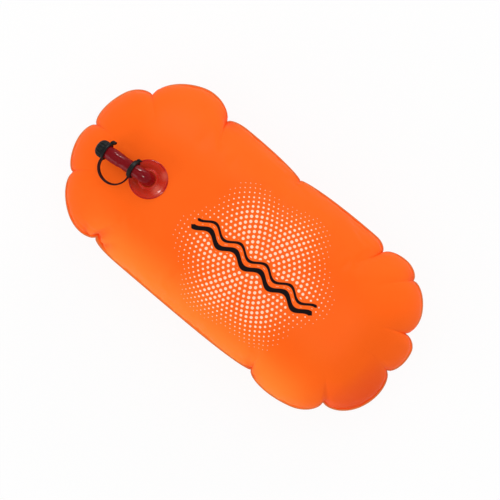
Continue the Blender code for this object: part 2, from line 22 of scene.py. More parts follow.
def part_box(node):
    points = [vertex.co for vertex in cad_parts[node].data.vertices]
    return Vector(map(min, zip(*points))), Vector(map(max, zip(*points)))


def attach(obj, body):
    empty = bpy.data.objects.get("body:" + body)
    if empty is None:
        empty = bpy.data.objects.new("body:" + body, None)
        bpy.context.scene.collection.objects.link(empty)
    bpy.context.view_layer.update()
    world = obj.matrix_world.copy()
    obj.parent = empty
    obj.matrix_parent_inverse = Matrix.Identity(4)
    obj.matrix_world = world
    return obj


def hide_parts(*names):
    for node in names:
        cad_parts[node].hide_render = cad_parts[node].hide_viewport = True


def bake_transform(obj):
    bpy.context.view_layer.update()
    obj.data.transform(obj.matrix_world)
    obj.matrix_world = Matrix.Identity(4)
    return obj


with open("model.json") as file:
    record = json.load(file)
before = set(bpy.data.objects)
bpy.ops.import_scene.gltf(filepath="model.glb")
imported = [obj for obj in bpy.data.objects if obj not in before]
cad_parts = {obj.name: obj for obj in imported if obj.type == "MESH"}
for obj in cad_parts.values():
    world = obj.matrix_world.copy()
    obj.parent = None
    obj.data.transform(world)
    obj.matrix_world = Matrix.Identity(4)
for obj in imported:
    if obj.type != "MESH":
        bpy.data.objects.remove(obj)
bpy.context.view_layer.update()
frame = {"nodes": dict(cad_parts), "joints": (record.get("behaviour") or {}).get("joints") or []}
LOG = logging.getLogger("swim_buoy")

Colour = tuple[float, float, float, float]
QUARTER_TURN = math.pi / 2
MERGE_DISTANCE = 0.00002
LEVEL_DIGITS = 5
SMOOTH_ANGLE = 0.9
BEVEL_ANGLE = 0.6
SHORTEST = 1e-9


class Body(Enum):
    """The CAD bodies that pieces ride on."""

    BAG = "bag"
    TUBE = "tube"
    RING = "ring"
    CAP = "cap"
    POPPET = "poppet"
    TOW_RING = "tow_ring"


class Side(Enum):
    """The two sheets of the bag, with the way that each one domes."""

    UPPER = 1
    LOWER = -1


# Names of what the meshes carry for the materials
SKIN_MAP = "skin"
WELD_SHARE = "weld_share"
# painted shading: painted shade in the folds and on the slack lobe, and negative values for painted
# highlights on crests
PAINTED_SHADING_SHARE = "painted_shading_share"

# Shader maths

# The numbers of the Mix node's sockets for colours
MIX_FACTOR = 0
MIX_FIRST = 6
MIX_SECOND = 7
MIX_RESULT = 2


class Channel:
    """A shader socket that Python's operators work on."""

    def __init__(self, graph: "Graph", socket: bpy.types.NodeSocket) -> None:
        """Wraps a socket.

        Args:
            graph: the material's node tree.
            socket: the output socket that carries the value.
        """
        self.graph = graph
        self.socket = socket

    def maths(self, operation: str, *values: "Channel | float") -> "Channel":
        """Adds one Math node.

        Args:
            operation: the node's operation.
            values: its inputs, in order.

        Returns:
            The node's result.
        """
        return self.graph.out("ShaderNodeMath", {"operation": operation}, dict(enumerate(values)))

    def __add__(self, other: "Channel | float") -> "Channel":
        """Sum."""
        return self.maths("ADD", self, other)

    __radd__ = __add__

    def __mul__(self, other: "Channel | float") -> "Channel":
        """Product."""
        return self.maths("MULTIPLY", self, other)

    __rmul__ = __mul__

    def __sub__(self, other: "Channel | float") -> "Channel":
        """Difference."""
        return self.maths("SUBTRACT", self, other)

    def __rsub__(self, other: float) -> "Channel":
        """Difference from a number."""
        return self.maths("SUBTRACT", other, self)

    def __truediv__(self, other: "Channel | float") -> "Channel":
        """Quotient."""
        return self.maths("DIVIDE", self, other)

    def __rtruediv__(self, other: float) -> "Channel":
        """Quotient of a number."""
        return self.maths("DIVIDE", other, self)

    def __pow__(self, power: float) -> "Channel":
        """Power."""
        return self.maths("POWER", self, power)

    def __abs__(self) -> "Channel":
        """Size without its sign."""
        return self.maths("ABSOLUTE", self)

    def floor(self) -> "Channel":
        """The whole number below."""
        return self.maths("FLOOR", self)

    def wave(self) -> "Channel":
        """Sine of the value in radians."""
        return self.maths("SINE", self)

    def most(self, other: "Channel | float") -> "Channel":
        """The larger of two."""
        return self.maths("MAXIMUM", self, other)

    def least(self, other: "Channel | float") -> "Channel":
        """The smaller of two."""
        return self.maths("MINIMUM", self, other)

    def over(self, limit: "Channel | float") -> "Channel":
        """1 above a limit, otherwise 0."""
        return self.maths("GREATER_THAN", self, limit)

    def ramp(self, low: "Channel | float", high: "Channel | float") -> "Channel":
        """A smooth step.

        Args:
            low: the value that gives 0.
            high: the value that gives 1.

        Returns:
            The step from 0 to 1.
        """
        inputs = {"Value": self, "From Min": low, "From Max": high}
        return self.graph.out("ShaderNodeMapRange", {"interpolation_type": "SMOOTHSTEP"}, inputs)


class Graph:
    """The node tree of one material."""

    def __init__(self, name: str) -> None:
        """Makes an empty material.

        Args:
            name: the material's name.
        """
        self.material = bpy.data.materials.new(name)
        self.material.use_nodes = True
        self.tree = self.material.node_tree
        self.tree.nodes.clear()

    def node(self, kind: str, settings: dict | None = None, inputs: dict | None = None) -> bpy.types.Node:
        """Adds one node.

        Args:
            kind: the node's type.
            settings: its properties, which are set first.
            inputs: a value or a Channel for each socket, by name or number.

        Returns:
            The node.
        """
        made = self.tree.nodes.new(kind)
        for name, value in (settings or {}).items():
            setattr(made, name, value)
        for key, value in (inputs or {}).items():
            if isinstance(value, Channel):
                self.tree.links.new(value.socket, made.inputs[key])
            else:
                made.inputs[key].default_value = value
        return made

    def out(
        self,
        kind: str,
        settings: dict | None = None,
        inputs: dict | None = None,
        output: int | str = 0,
    ) -> Channel:
        """Adds one node and gives one of its outputs.

        Args:
            kind: the node's type.
            settings: its properties.
            inputs: a value or a Channel for each socket.
            output: the output's number or name.

        Returns:
            The output.
        """
        return Channel(self, self.node(kind, settings, inputs).outputs[output])

    def mixed(self, factor: Channel | float, first: Channel | Colour, second: Channel | Colour) -> Channel:
        """Mixes two colours.

        Args:
            factor: 0 gives the first one.
            first: a colour.
            second: a colour.

        Returns:
            The mix.
        """
        inputs = {MIX_FACTOR: factor, MIX_FIRST: first, MIX_SECOND: second}
        return self.out("ShaderNodeMix", {"data_type": "RGBA"}, inputs, MIX_RESULT)

    def place(self) -> Channel:
        """The Object coordinates."""
        return self.out("ShaderNodeTexCoord", output="Object")

    def parts(self, vector: Channel) -> tuple[Channel, Channel, Channel]:
        """X, Y and Z of a vector."""
        node = self.node("ShaderNodeSeparateXYZ", inputs={0: vector})
        return tuple(Channel(self, socket) for socket in node.outputs)

    def skin(self) -> Channel:
        """The piece's own UV map, in metres along and across it."""
        return self.out("ShaderNodeUVMap", {"uv_map": SKIN_MAP})

    def carried(self, name: str) -> Channel:
        """A number that the mesh carries on its points."""
        return self.out("ShaderNodeAttribute", {"attribute_name": name}, output="Fac")

    def grain(self, vector: Channel, size: float, detail: float = 2.0) -> Channel:
        """Noise from 0 to 1.

        Args:
            vector: the coordinates.
            size: the size of its grains in metres.
            detail: the number of finer layers.

        Returns:
            The noise.
        """
        inputs = {"Vector": vector, "Scale": 1 / size, "Detail": detail}
        return self.out("ShaderNodeTexNoise", inputs=inputs)

    def bumped(self, height: Channel, depth: float, strength: float, under: Channel | None = None) -> Channel:
        """A bumped normal.

        Args:
            height: the height, from 0 to 1.
            depth: its size in metres.
            strength: its share of the shading.
            under: a normal to add it to.

        Returns:
            The normal.
        """
        inputs = {"Height": height, "Distance": depth, "Strength": strength}
        if under is not None:
            inputs["Normal"] = under
        return self.out("ShaderNodeBump", inputs=inputs)

    def surfaced(self, **sockets: Channel | Colour | float) -> bpy.types.Material:
        """Finishes the material with a Principled shader.

        Args:
            sockets: its inputs, with underscores for the spaces in their names.

        Returns:
            The material.
        """
        inputs = {name.replace("_", " "): value for name, value in sockets.items()}
        return self.closed(self.out("ShaderNodeBsdfPrincipled", inputs=inputs))

    def closed(self, surface: Channel) -> bpy.types.Material:
        """Ends the tree with its output node."""
        self.node("ShaderNodeOutputMaterial", inputs={"Surface": surface})
        return self.material


# Finishes

COARSE_DETAIL = 3.0


@dataclass(frozen=True)
class Halftone:
    """A round print of dots on rings, with two bare-edged wavy lines across it."""

    centre: tuple[float, float] = (-0.023, 0.011)
    pitch: float = 0.0056
    full_radius: float = 0.042
    faded_radius: float = 0.108
    dot_radius: float = 0.00172
    edge: float = 0.00030
    sectors: float = 6.0
    sector_swing: float = 0.14
    sector_turn: float = 0.4
    band_half: float = 0.080
    band_swing: float = 0.0042
    band_waves: float = 4.5
    lines: tuple[tuple[float, float], ...] = ((0.0036, 0.0030), (-0.0062, 0.0017))
    clear: float = 0.0024

    def masks(self, graph: Graph, along: Channel, across: Channel) -> tuple[Channel, Channel]:
        """Where the ink lies.

        Args:
            graph: the material's node tree.
            along: metres along the bag.
            across: metres across its skin.

        Returns:
            The masks of the dots and of the wavy lines.
        """
        x = along - self.centre[0]
        y = across - self.centre[1]
        radius = (x * x + y * y) ** 0.5
        ring = (radius / self.pitch + 0.5).floor().most(1.0)
        angle = y.maths("ARCTAN2", y, x)
        step = (angle / math.tau + 0.5) * ring * self.sectors
        off_turn = (step - (step + 0.5).floor()) / (ring * self.sectors) * math.tau * radius
        off_ring = radius - ring * self.pitch
        off_dot = (off_turn * off_turn + off_ring * off_ring) ** 0.5
        swing = (angle * self.sectors + self.sector_turn).wave() * self.sector_swing
        fade = 1 - radius.ramp(self.full_radius, self.faded_radius)
        size = (fade + swing).least(1.0) * self.dot_radius
        dots = (size - off_dot).ramp(-self.edge, self.edge) * size.over(self.edge)
        line = (x * (math.pi * self.band_waves / self.band_half)).wave() * self.band_swing
        beyond = (abs(x) - self.band_half).most(0.0)
        ink: Channel | float = 0.0
        bare: Channel | float = 1.0
        for offset, stroke in self.lines:
            off_line = abs(y - line - offset) + beyond
            ink = (stroke - off_line).ramp(-self.edge, self.edge) + ink
            bare = (off_line - stroke - self.clear).ramp(-self.edge, self.edge) * bare
        return dots * bare, ink.least(1.0)


@dataclass(frozen=True)
class CoatedSheet:
    """Fluorescent coated sheet, welded at its edge, with painted shade in its folds, painted highlights on
    crests and a painted glow along one flank.
    """

    name: str = "coated_sheet"
    colour: Colour = (1.0, 0.136, 0.009, 1.0)
    deep: Colour = (1.0, 0.119, 0.006, 1.0)
    # painted shade for the folds and the slack lobe
    shade: Colour = (0.84, 0.064, 0.004, 1.0)
    # the weld band's own duller tone, lightened as painted light against the shade where the band meets the
    # domes
    weld_tone_and_painted_light: Colour = (0.70, 0.250, 0.070, 1.0)
    dots: Colour = (1.0, 0.72, 0.51, 1.0)
    ink: Colour = (0.006, 0.004, 0.005, 1.0)
    # painted light: the glow along the lit flank, also used for the crest highlights
    painted_glow: Colour = (1.0, 0.230, 0.024, 1.0)
    cloud_size: float = 0.055
    cloud_swing: float = 1.2
    painted_glow_across: tuple[float, float] = (0.054, 0.118)
    painted_glow_far_end: tuple[float, float] = (-0.20, -0.13)
    painted_glow_valve_end: tuple[float, float] = (0.175, 0.115)
    print_height: float = 0.09
    painted_shade_strength: float = 0.85
    weld_ramp: tuple[float, float] = (0.35, 0.70)
    roughness: float = 0.55
    grain_size: float = 0.0016
    grain_swing: float = 0.10
    ink_roughness: float = 0.2
    weave: float = 0.0007
    weave_depth: float = 0.00002
    weave_strength: float = 0.5
    dimple_size: float = 0.004
    dimple_depth: float = 0.00012
    dimple_strength: float = 0.6
    specular: float = 0.04
    printed: Halftone | None = None

    def material(self) -> bpy.types.Material:
        """The material."""
        graph = Graph(self.name)
        place = graph.place()
        skin_along, skin_across, _ = graph.parts(graph.skin())
        along, across, height = graph.parts(place)
        cloud = graph.grain(place, self.cloud_size, COARSE_DETAIL)
        fine = graph.grain(place, self.grain_size)
        colour = graph.mixed((cloud - 0.5) * self.cloud_swing + 0.5, self.colour, self.deep)
        # painted light along the +Y flank, standing in for light that comes through the sheet, faded towards
        # both ends
        painted_glow_mask = across.ramp(*self.painted_glow_across) * along.ramp(*self.painted_glow_far_end)
        painted_glow_mask = painted_glow_mask * along.ramp(*self.painted_glow_valve_end)
        colour = graph.mixed(painted_glow_mask, colour, self.painted_glow)
        rough = self.roughness + (fine - 0.5) * self.grain_swing
        if self.printed is not None:
            dots, band = self.printed.masks(graph, skin_along, skin_across)
            above = height.over(self.print_height)
            colour = graph.mixed(dots * above, colour, self.dots)
            colour = graph.mixed(band * above, colour, self.ink)
            rough = rough + band * above * self.ink_roughness
        weld = graph.carried(WELD_SHARE)
        fold = graph.carried(PAINTED_SHADING_SHARE)
        # painted shade in the folds and on the slack lobe
        colour = graph.mixed(fold.most(0.0) * self.painted_shade_strength, colour, self.shade)
        # painted highlight on the crests beside the creases
        colour = graph.mixed((fold * -1).most(0.0), colour, self.painted_glow)
        # the weld band's tone, lightened with painted light
        colour = graph.mixed(weld.ramp(*self.weld_ramp), colour, self.weld_tone_and_painted_light)
        turns = math.tau / self.weave
        threads = (skin_along * turns).wave() * (skin_across * turns).wave()
        cloth = graph.bumped(threads * 0.5 + 0.5, self.weave_depth, self.weave_strength)
        dimples = graph.grain(place, self.dimple_size, COARSE_DETAIL)
        normal = graph.bumped(dimples, self.dimple_depth, self.dimple_strength, cloth)
        return graph.surfaced(
            Base_Color=colour,
            Roughness=rough,
            Normal=normal,
            Specular_IOR_Level=self.specular,
        )


@dataclass(frozen=True)
class PaintedPatch:
    """A round patch of painted highlight or painted shadow, which fades out from its middle."""

    place: Vector
    reach: float
    colour: Colour
    strength: float


@dataclass(frozen=True)
class ClearSoftPlastic:
    """Glossy see-through red soft plastic."""

    name: str
    colour: Colour
    # paler colour for the painted sheen at grazing angles, and for tone that differs at random
    rim: Colour
    body: float
    roughness: float
    facing_blend: float = 0.35
    painted_sheen_ramp: tuple[float, float] = (0.25, 0.95)
    painted_sheen_share: float = 0.7
    cloud_size: float = 0.010
    cloud_share: float = 0.5
    cloud_depth: float = 0.0005
    cloud_strength: float = 0.5
    grain_size: float = 0.003
    grain_swing: float = 0.08
    specular: float = 0.12
    painted_patches: tuple[PaintedPatch, ...] = ()

    def material(self) -> bpy.types.Material:
        """The material."""
        graph = Graph(self.name)
        place = graph.place()
        facing = graph.out("ShaderNodeLayerWeight", inputs={"Blend": self.facing_blend}, output="Facing")
        cloud = graph.grain(place, self.cloud_size, COARSE_DETAIL)
        # painted sheen: paler towards grazing angles, plus tone that differs at random from the cloud
        sheen_and_tone = facing.ramp(*self.painted_sheen_ramp) * self.painted_sheen_share + (cloud - 0.5) * self.cloud_share
        colour = graph.mixed(sheen_and_tone, self.colour, self.rim)
        # round patches of painted highlight and painted shadow
        for patch in self.painted_patches:
            inputs = {0: place, 1: tuple(patch.place)}
            off = graph.out("ShaderNodeVectorMath", {"operation": "DISTANCE"}, inputs, output="Value")
            colour = graph.mixed(off.ramp(patch.reach, 0.0) * patch.strength, colour, patch.colour)
        alpha = self.body + facing * (1 - self.body)
        rough = self.roughness + (graph.grain(place, self.grain_size) - 0.5) * self.grain_swing
        normal = graph.bumped(cloud, self.cloud_depth, self.cloud_strength)
        return graph.surfaced(
            Base_Color=colour,
            Roughness=rough,
            Alpha=alpha.least(1.0),
            Normal=normal,
            Specular_IOR_Level=self.specular,
        )


@dataclass(frozen=True)
class Moulded:
    """Plain moulded rubber or plastic with a fine grain."""

    name: str
    colour: Colour
    worn: Colour
    roughness: float
    metallic: float = 0.0
    specular: float = 0.35
    cloud_size: float = 0.006
    worn_ramp: tuple[float, float] = (0.35, 0.8)
    worn_share: float = 0.6
    grain_size: float = 0.0006
    grain_swing: float = 0.14
    grain_depth: float = 0.00003
    grain_strength: float = 0.7

    def material(self) -> bpy.types.Material:
        """The material."""
        graph = Graph(self.name)
        place = graph.place()
        cloud = graph.grain(place, self.cloud_size, COARSE_DETAIL)
        fine = graph.grain(place, self.grain_size)
        return graph.surfaced(
            Base_Color=graph.mixed(cloud.ramp(*self.worn_ramp) * self.worn_share, self.colour, self.worn),
            Roughness=self.roughness + (fine - 0.5) * self.grain_swing,
            Normal=graph.bumped(fine, self.grain_depth, self.grain_strength),
            Metallic=self.metallic,
            Specular_IOR_Level=self.specular,
        )


@dataclass(frozen=True)
class Webbing:
    """Woven flat webbing with two rows of stitches."""

    name: str = "black_webbing"
    colour: Colour = (0.016, 0.016, 0.018, 1.0)
    light: Colour = (0.055, 0.055, 0.060, 1.0)
    thread: Colour = (0.10, 0.10, 0.11, 1.0)
    rib: float = 0.0016
    half_width: float = 0.010
    stitch: float = 0.0028
    stitch_gap_level: float = -0.5
    stitch_rise: float = 1.5
    seam_inset: float = 0.0022
    seam_edge: tuple[float, float] = (0.0002, 0.0005)
    light_share: float = 0.6
    depth: float = 0.00022
    strength: float = 0.9
    roughness: float = 0.82
    weave_gloss: float = 0.12
    sheen: float = 0.15
    specular: float = 0.3

    def material(self) -> bpy.types.Material:
        """The material."""
        graph = Graph(self.name)
        along, across, _ = graph.parts(graph.skin())
        rows = (across * (math.tau / self.rib)).wave()
        picks = (along * (math.tau / self.rib) + rows.over(0.0) * math.pi).wave()
        weave = picks * 0.5 + 0.5
        seam = 1 - abs(abs(across) - self.half_width + self.seam_inset).ramp(*self.seam_edge)
        stitches = seam * (along * (math.tau / self.stitch)).wave().over(self.stitch_gap_level)
        colour = graph.mixed(weave * self.light_share, self.colour, self.light)
        return graph.surfaced(
            Base_Color=graph.mixed(stitches, colour, self.thread),
            Roughness=self.roughness - weave * self.weave_gloss,
            Normal=graph.bumped(weave + stitches * self.stitch_rise, self.depth, self.strength),
            Sheen_Weight=self.sheen,
            Specular_IOR_Level=self.specular,
        )


# Modelling


class Workshop:
    """Modelling steps that the pieces share."""

    @staticmethod
    def deselect() -> None:
        """Leaves edit mode and lets go of everything."""
        if bpy.context.object is not None and bpy.context.object.mode != "OBJECT":
            bpy.ops.object.mode_set(mode="OBJECT")
        bpy.ops.object.select_all(action="DESELECT")

    @staticmethod
    def hold(piece: bpy.types.Object) -> None:
        """Makes one piece the active and only selected one."""
        Workshop.deselect()
        piece.select_set(True)
        bpy.context.view_layer.objects.active = piece

    @staticmethod
    def pick(
        piece: bpy.types.Object,
        test: Callable[[Vector], bool],
        edges: bool = False,
    ) -> None:
        """Selects parts of the piece that is in edit mode.

        Args:
            piece: the piece.
            test: says whether a face's or an edge's middle is wanted.
            edges: looks at open edges in place of faces.
        """
        bpy.ops.mesh.select_mode(type="EDGE" if edges else "FACE")
        bpy.ops.mesh.select_all(action="DESELECT")
        work = bmesh.from_edit_mesh(piece.data)
        if edges:
            for edge in work.edges:
                middle = (edge.verts[0].co + edge.verts[1].co) / 2
                if edge.is_boundary and test(middle):
                    edge.select_set(True)
        else:
            for face in work.faces:
                if test(face.calc_center_median()):
                    face.select_set(True)
        bmesh.update_edit_mesh(piece.data)

    @staticmethod
    def pick_points(piece: bpy.types.Object, test: Callable[[Vector], bool]) -> int:
        """Selects points of the piece that is in edit mode.

        Args:
            piece: the piece.
            test: says whether a point is wanted.

        Returns:
            How many were selected.
        """
        bpy.ops.mesh.select_mode(type="VERT")
        bpy.ops.mesh.select_all(action="DESELECT")
        work = bmesh.from_edit_mesh(piece.data)
        found = [vert for vert in work.verts if test(vert.co)]
        for vert in found:
            vert.select_set(True)
        work.select_flush_mode()
        bmesh.update_edit_mesh(piece.data)
        return len(found)

    @staticmethod
    def ring_through(name: str, profile: Sequence[tuple[float, float]], steps: int) -> bpy.types.Object:
        """A ring extruded through a profile about Z, left in edit mode.

        Args:
            name: the piece's name.
            profile: radius and height of each ring.
            steps: points in a ring.

        Returns:
            The piece.
        """
        Workshop.deselect()
        radius, height = profile[0]
        bpy.ops.mesh.primitive_circle_add(vertices=steps, radius=radius, location=(0, 0, height))
        piece = bpy.context.active_object
        piece.name = name
        bpy.ops.object.transform_apply(location=True, rotation=True, scale=True)
        bpy.ops.object.mode_set(mode="EDIT")
        bpy.ops.mesh.select_mode(type="VERT")
        bpy.ops.mesh.select_all(action="SELECT")
        for (before, low), (after, high) in zip(profile, profile[1:]):
            bpy.ops.mesh.extrude_region_move(TRANSFORM_OT_translate={"value": (0, 0, high - low)})
            share = after / before
            bpy.ops.transform.resize(value=(share, share, 1), center_override=(0, 0, high))
        return piece

    @staticmethod
    def close_ends(piece: bpy.types.Object) -> None:
        """Fills the open rings at both ends of a piece in edit mode."""
        open_edges = [edge for edge in bmesh.from_edit_mesh(piece.data).edges if edge.is_boundary]
        ends = {round(edge.verts[0].co.z, LEVEL_DIGITS) for edge in open_edges}
        for end in sorted(ends):
            Workshop.pick(piece, lambda middle, end=end: abs(middle.z - end) < MERGE_DISTANCE, edges=True)
            bpy.ops.mesh.edge_face_add()

    @staticmethod
    def tidy(piece: bpy.types.Object) -> None:
        """Merges doubles, turns the faces outwards and leaves edit mode."""
        bpy.ops.mesh.select_all(action="SELECT")
        bpy.ops.mesh.remove_doubles(threshold=MERGE_DISTANCE)
        bpy.ops.mesh.normals_make_consistent(inside=False)
        bpy.ops.object.mode_set(mode="OBJECT")

    @staticmethod
    def settle(
        piece: bpy.types.Object,
        place: Matrix | None = None,
        angle: float = SMOOTH_ANGLE,
    ) -> None:
        """Puts a piece in its place, with its object at the origin, and smooths it.

        Args:
            piece: the piece.
            place: where its own axes lie.
            angle: edges sharper than this stay sharp.
        """
        Workshop.hold(piece)
        if place is not None:
            piece.matrix_world = place
        bpy.ops.object.transform_apply(location=True, rotation=True, scale=True)
        bpy.ops.object.shade_smooth_by_angle(angle=angle)

    @staticmethod
    def rounded(piece: bpy.types.Object, width: float, segments: int) -> None:
        """Bevels the sharp edges of a piece.

        Args:
            piece: the piece.
            width: the bevel's width.
            segments: its steps.
        """
        Workshop.hold(piece)
        bevel = piece.modifiers.new("round", "BEVEL")
        bevel.width = width
        bevel.segments = segments
        bevel.limit_method = "ANGLE"
        bevel.angle_limit = BEVEL_ANGLE
        bpy.ops.object.modifier_apply(modifier=bevel.name)

    @staticmethod
    def swept(
        name: str,
        points: Sequence[Vector],
        radii: Sequence[float],
        sides: int,
        closed: bool = False,
        capped: bool = True,
    ) -> bpy.types.Object:
        """A round bar along points.

        Args:
            name: the piece's name.
            points: its centre line.
            radii: its radius at each point.
            sides: how fine it is round, where a bar has twice as many sides and four more.
            closed: joins its ends.
            capped: fills its ends.

        Returns:
            The piece.
        """
        curve = bpy.data.curves.new(name, "CURVE")
        curve.dimensions = "3D"
        curve.bevel_depth = 1.0
        curve.bevel_resolution = sides
        curve.use_fill_caps = capped and not closed
        spline = curve.splines.new("POLY")
        spline.points.add(len(points) - 1)
        for control, point, radius in zip(spline.points, points, radii):
            control.co = (*point, 1)
            control.radius = radius
        spline.use_cyclic_u = closed
        piece = bpy.data.objects.new(name, curve)
        bpy.context.scene.collection.objects.link(piece)
        Workshop.hold(piece)
        bpy.ops.object.convert(target="MESH")
        piece = bpy.context.active_object
        bpy.ops.object.mode_set(mode="EDIT")
        Workshop.tidy(piece)
        return piece

    @staticmethod
    def sewn(
        name: str,
        points: Sequence[Vector],
        faces: Sequence[tuple[int, ...]],
        skin: np.ndarray,
    ) -> bpy.types.Object:
        """A piece of sheet from its points and faces, with its own UV map.

        Args:
            name: the piece's name.
            points: its points.
            faces: the numbers of each face's points.
            skin: two numbers for each point, in metres.

        Returns:
            The piece.
        """
        mesh = bpy.data.meshes.new(name)
        mesh.from_pydata(points, [], faces)
        piece = bpy.data.objects.new(name, mesh)
        bpy.context.scene.collection.objects.link(piece)
        Workshop.mapped(piece, skin)
        return piece

    @staticmethod
    def turn_out(piece: bpy.types.Object) -> None:
        """Turns the faces of a closed piece outwards."""
        Workshop.hold(piece)
        bpy.ops.object.mode_set(mode="EDIT")
        bpy.ops.mesh.select_all(action="SELECT")
        bpy.ops.mesh.normals_make_consistent(inside=False)
        bpy.ops.object.mode_set(mode="OBJECT")

    @staticmethod
    def mapped(piece: bpy.types.Object, places: np.ndarray) -> None:
        """Gives a piece its own UV map.

        Args:
            piece: the piece.
            places: two numbers for each point, in metres.
        """
        layer = piece.data.uv_layers.new(name=SKIN_MAP)
        corners = np.zeros(len(piece.data.loops), np.int32)
        piece.data.loops.foreach_get("vertex_index", corners)
        layer.data.foreach_set("uv", places[corners].astype(np.float32).ravel())

    @staticmethod
    def marked(piece: bpy.types.Object, name: str, values: np.ndarray) -> None:
        """Writes a number on each point of a piece."""
        attribute = piece.data.attributes.new(name, "FLOAT", "POINT")
        attribute.data.foreach_set("value", values.astype(np.float32))

    @staticmethod
    def dress(piece: bpy.types.Object, material: bpy.types.Material, slot: str) -> None:
        """Gives a piece its material."""
        piece.data.materials.clear()
        piece.data.materials.append(material)


# The bag


@dataclass(frozen=True)
class Lobe:
    """A lobe of the welded edge, in shares of the bag's half sizes.

    It starts at the notch (along, across). bulge is its rise over its chord, and peak is how far
    along the chord it bulges most.
    """

    along: float
    across: float
    bulge: float
    peak: float


@dataclass(frozen=True)
class Crease:
    """A fold that runs in from the welded edge.

    lobe and at say where it starts, lean how far it drifts along the edge by the time it ends,
    depth and width its size in metres, reach its share of the way to the crown, and sharp
    whether it is a crease or a soft hollow. painted_crest_highlight is how strong the painted
    highlight on the ridge beside it is.
    """

    lobe: int
    at: float
    lean: float
    depth: float
    width: float
    reach: float
    sharp: bool = False
    painted_crest_highlight: float = 0.0


LOBES = (
    Lobe(0.846, -0.631, 0.240, 0.38),
    Lobe(0.972, -0.024, 0.204, 0.45),
    Lobe(0.909, 0.509, 0.261, 0.57),
    Lobe(0.611, 0.881, 0.031, 0.25),
    Lobe(-0.416, 0.905, 0.219, 0.63),
    Lobe(-0.803, 0.690, 0.289, 0.47),
    Lobe(-0.949, 0.011, 0.329, 0.65),
    Lobe(-0.899, -0.407, 0.255, 0.44),
    Lobe(-0.763, -0.879, 0.255, 0.44),
    Lobe(-0.552, -0.897, 0.080, 0.14),
    Lobe(0.000, -0.925, 0.072, 0.78),
    Lobe(0.474, -0.915, 0.308, 0.42),
)

# In each crease, the last number where it is given is the strength of the painted highlight on the crest
# beside it
CREASES = (
    Crease(0, 0.0, 0.000, 0.0004, 0.0080, 0.36),
    Crease(2, 0.0, -0.004, 0.0005, 0.0080, 0.36),
    Crease(2, 0.86, -0.016, 0.0012, 0.0035, 0.42, True),
    Crease(3, 0.0, 0.010, 0.0040, 0.0055, 0.62, True, 0.9),
    Crease(3, 0.08, 0.026, 0.0022, 0.0045, 0.52, True),
    Crease(4, 0.0, 0.000, 0.0005, 0.0080, 0.40),
    Crease(4, 0.10, 0.012, 0.0010, 0.0035, 0.30, True),
    Crease(5, 0.0, 0.004, 0.0042, 0.0055, 0.66, True, 0.8),
    Crease(5, 0.14, 0.012, 0.0010, 0.0035, 0.35, True),
    Crease(6, 0.0, -0.004, 0.0005, 0.0080, 0.40),
    Crease(8, 0.0, 0.002, 0.0005, 0.0080, 0.36),
    Crease(11, 0.0, -0.002, 0.0005, 0.0080, 0.40),
)

# How far beside a crease its painted crest highlight lies and how wide it is, as shares of the crease's width
CREST_PLACE_SHARE = 1.3
CREST_SPREAD_SHARE = 0.6


@dataclass(frozen=True)
class Sag:
    """A slack lobe, whose face falls away more steeply than its neighbours', with painted shade over it."""

    lobe: int = 5
    depth: float = 0.0045
    reach: float = 0.62
    spread_power: float = 0.7
    climb_power: float = 1.3
    # how the painted shade spreads along the lobe
    shade_power: float = 0.5


@dataclass(frozen=True)
class Pucker:
    """The small ripples that the weld draws into the sheets beside it.

    drift and drift_rate let their spacing wander, and fade is the climb over which they die out.
    """

    height: float = 0.00045
    length: float = 0.0125
    drift: float = 3
    drift_rate: float = 31
    fade: float = 0.22


@dataclass(frozen=True)
class Billow:
    """The soft unevenness of the upper sheet, which the crown's tautness calms."""

    height: float = 0.0024
    size: float = 0.075
    calm_share: float = 0.9
    calm_power: float = 8


@dataclass(frozen=True)
class CrownLift:
    """The rise of the crown's middle over the dome."""

    height: float = 0.0030
    hump_power: float = 2
    climb_power: float = 6


@dataclass(frozen=True)
class Inflation:
    """How the sheets are let settle as cloth, held at their weld and pushed out by their air.

    grain is the cloth's mesh size, held how far from the weld it is pinned, cap the farthest
    move that the bag takes over from it, and neighbours how many of its points each of the
    bag's points follows, with blur_share and free_share softening that over its grain.
    """

    grain: float = 0.006
    quality: int = 6
    mass: float = 0.05
    stiffness: float = 0.3
    pressure: float = 4.0
    frames: int = 20
    slack: float = 0.012
    held: float = 0.0035
    cap: float = 0.0022
    neighbours: int = 6
    blur_share: float = 3
    free_share: float = 2


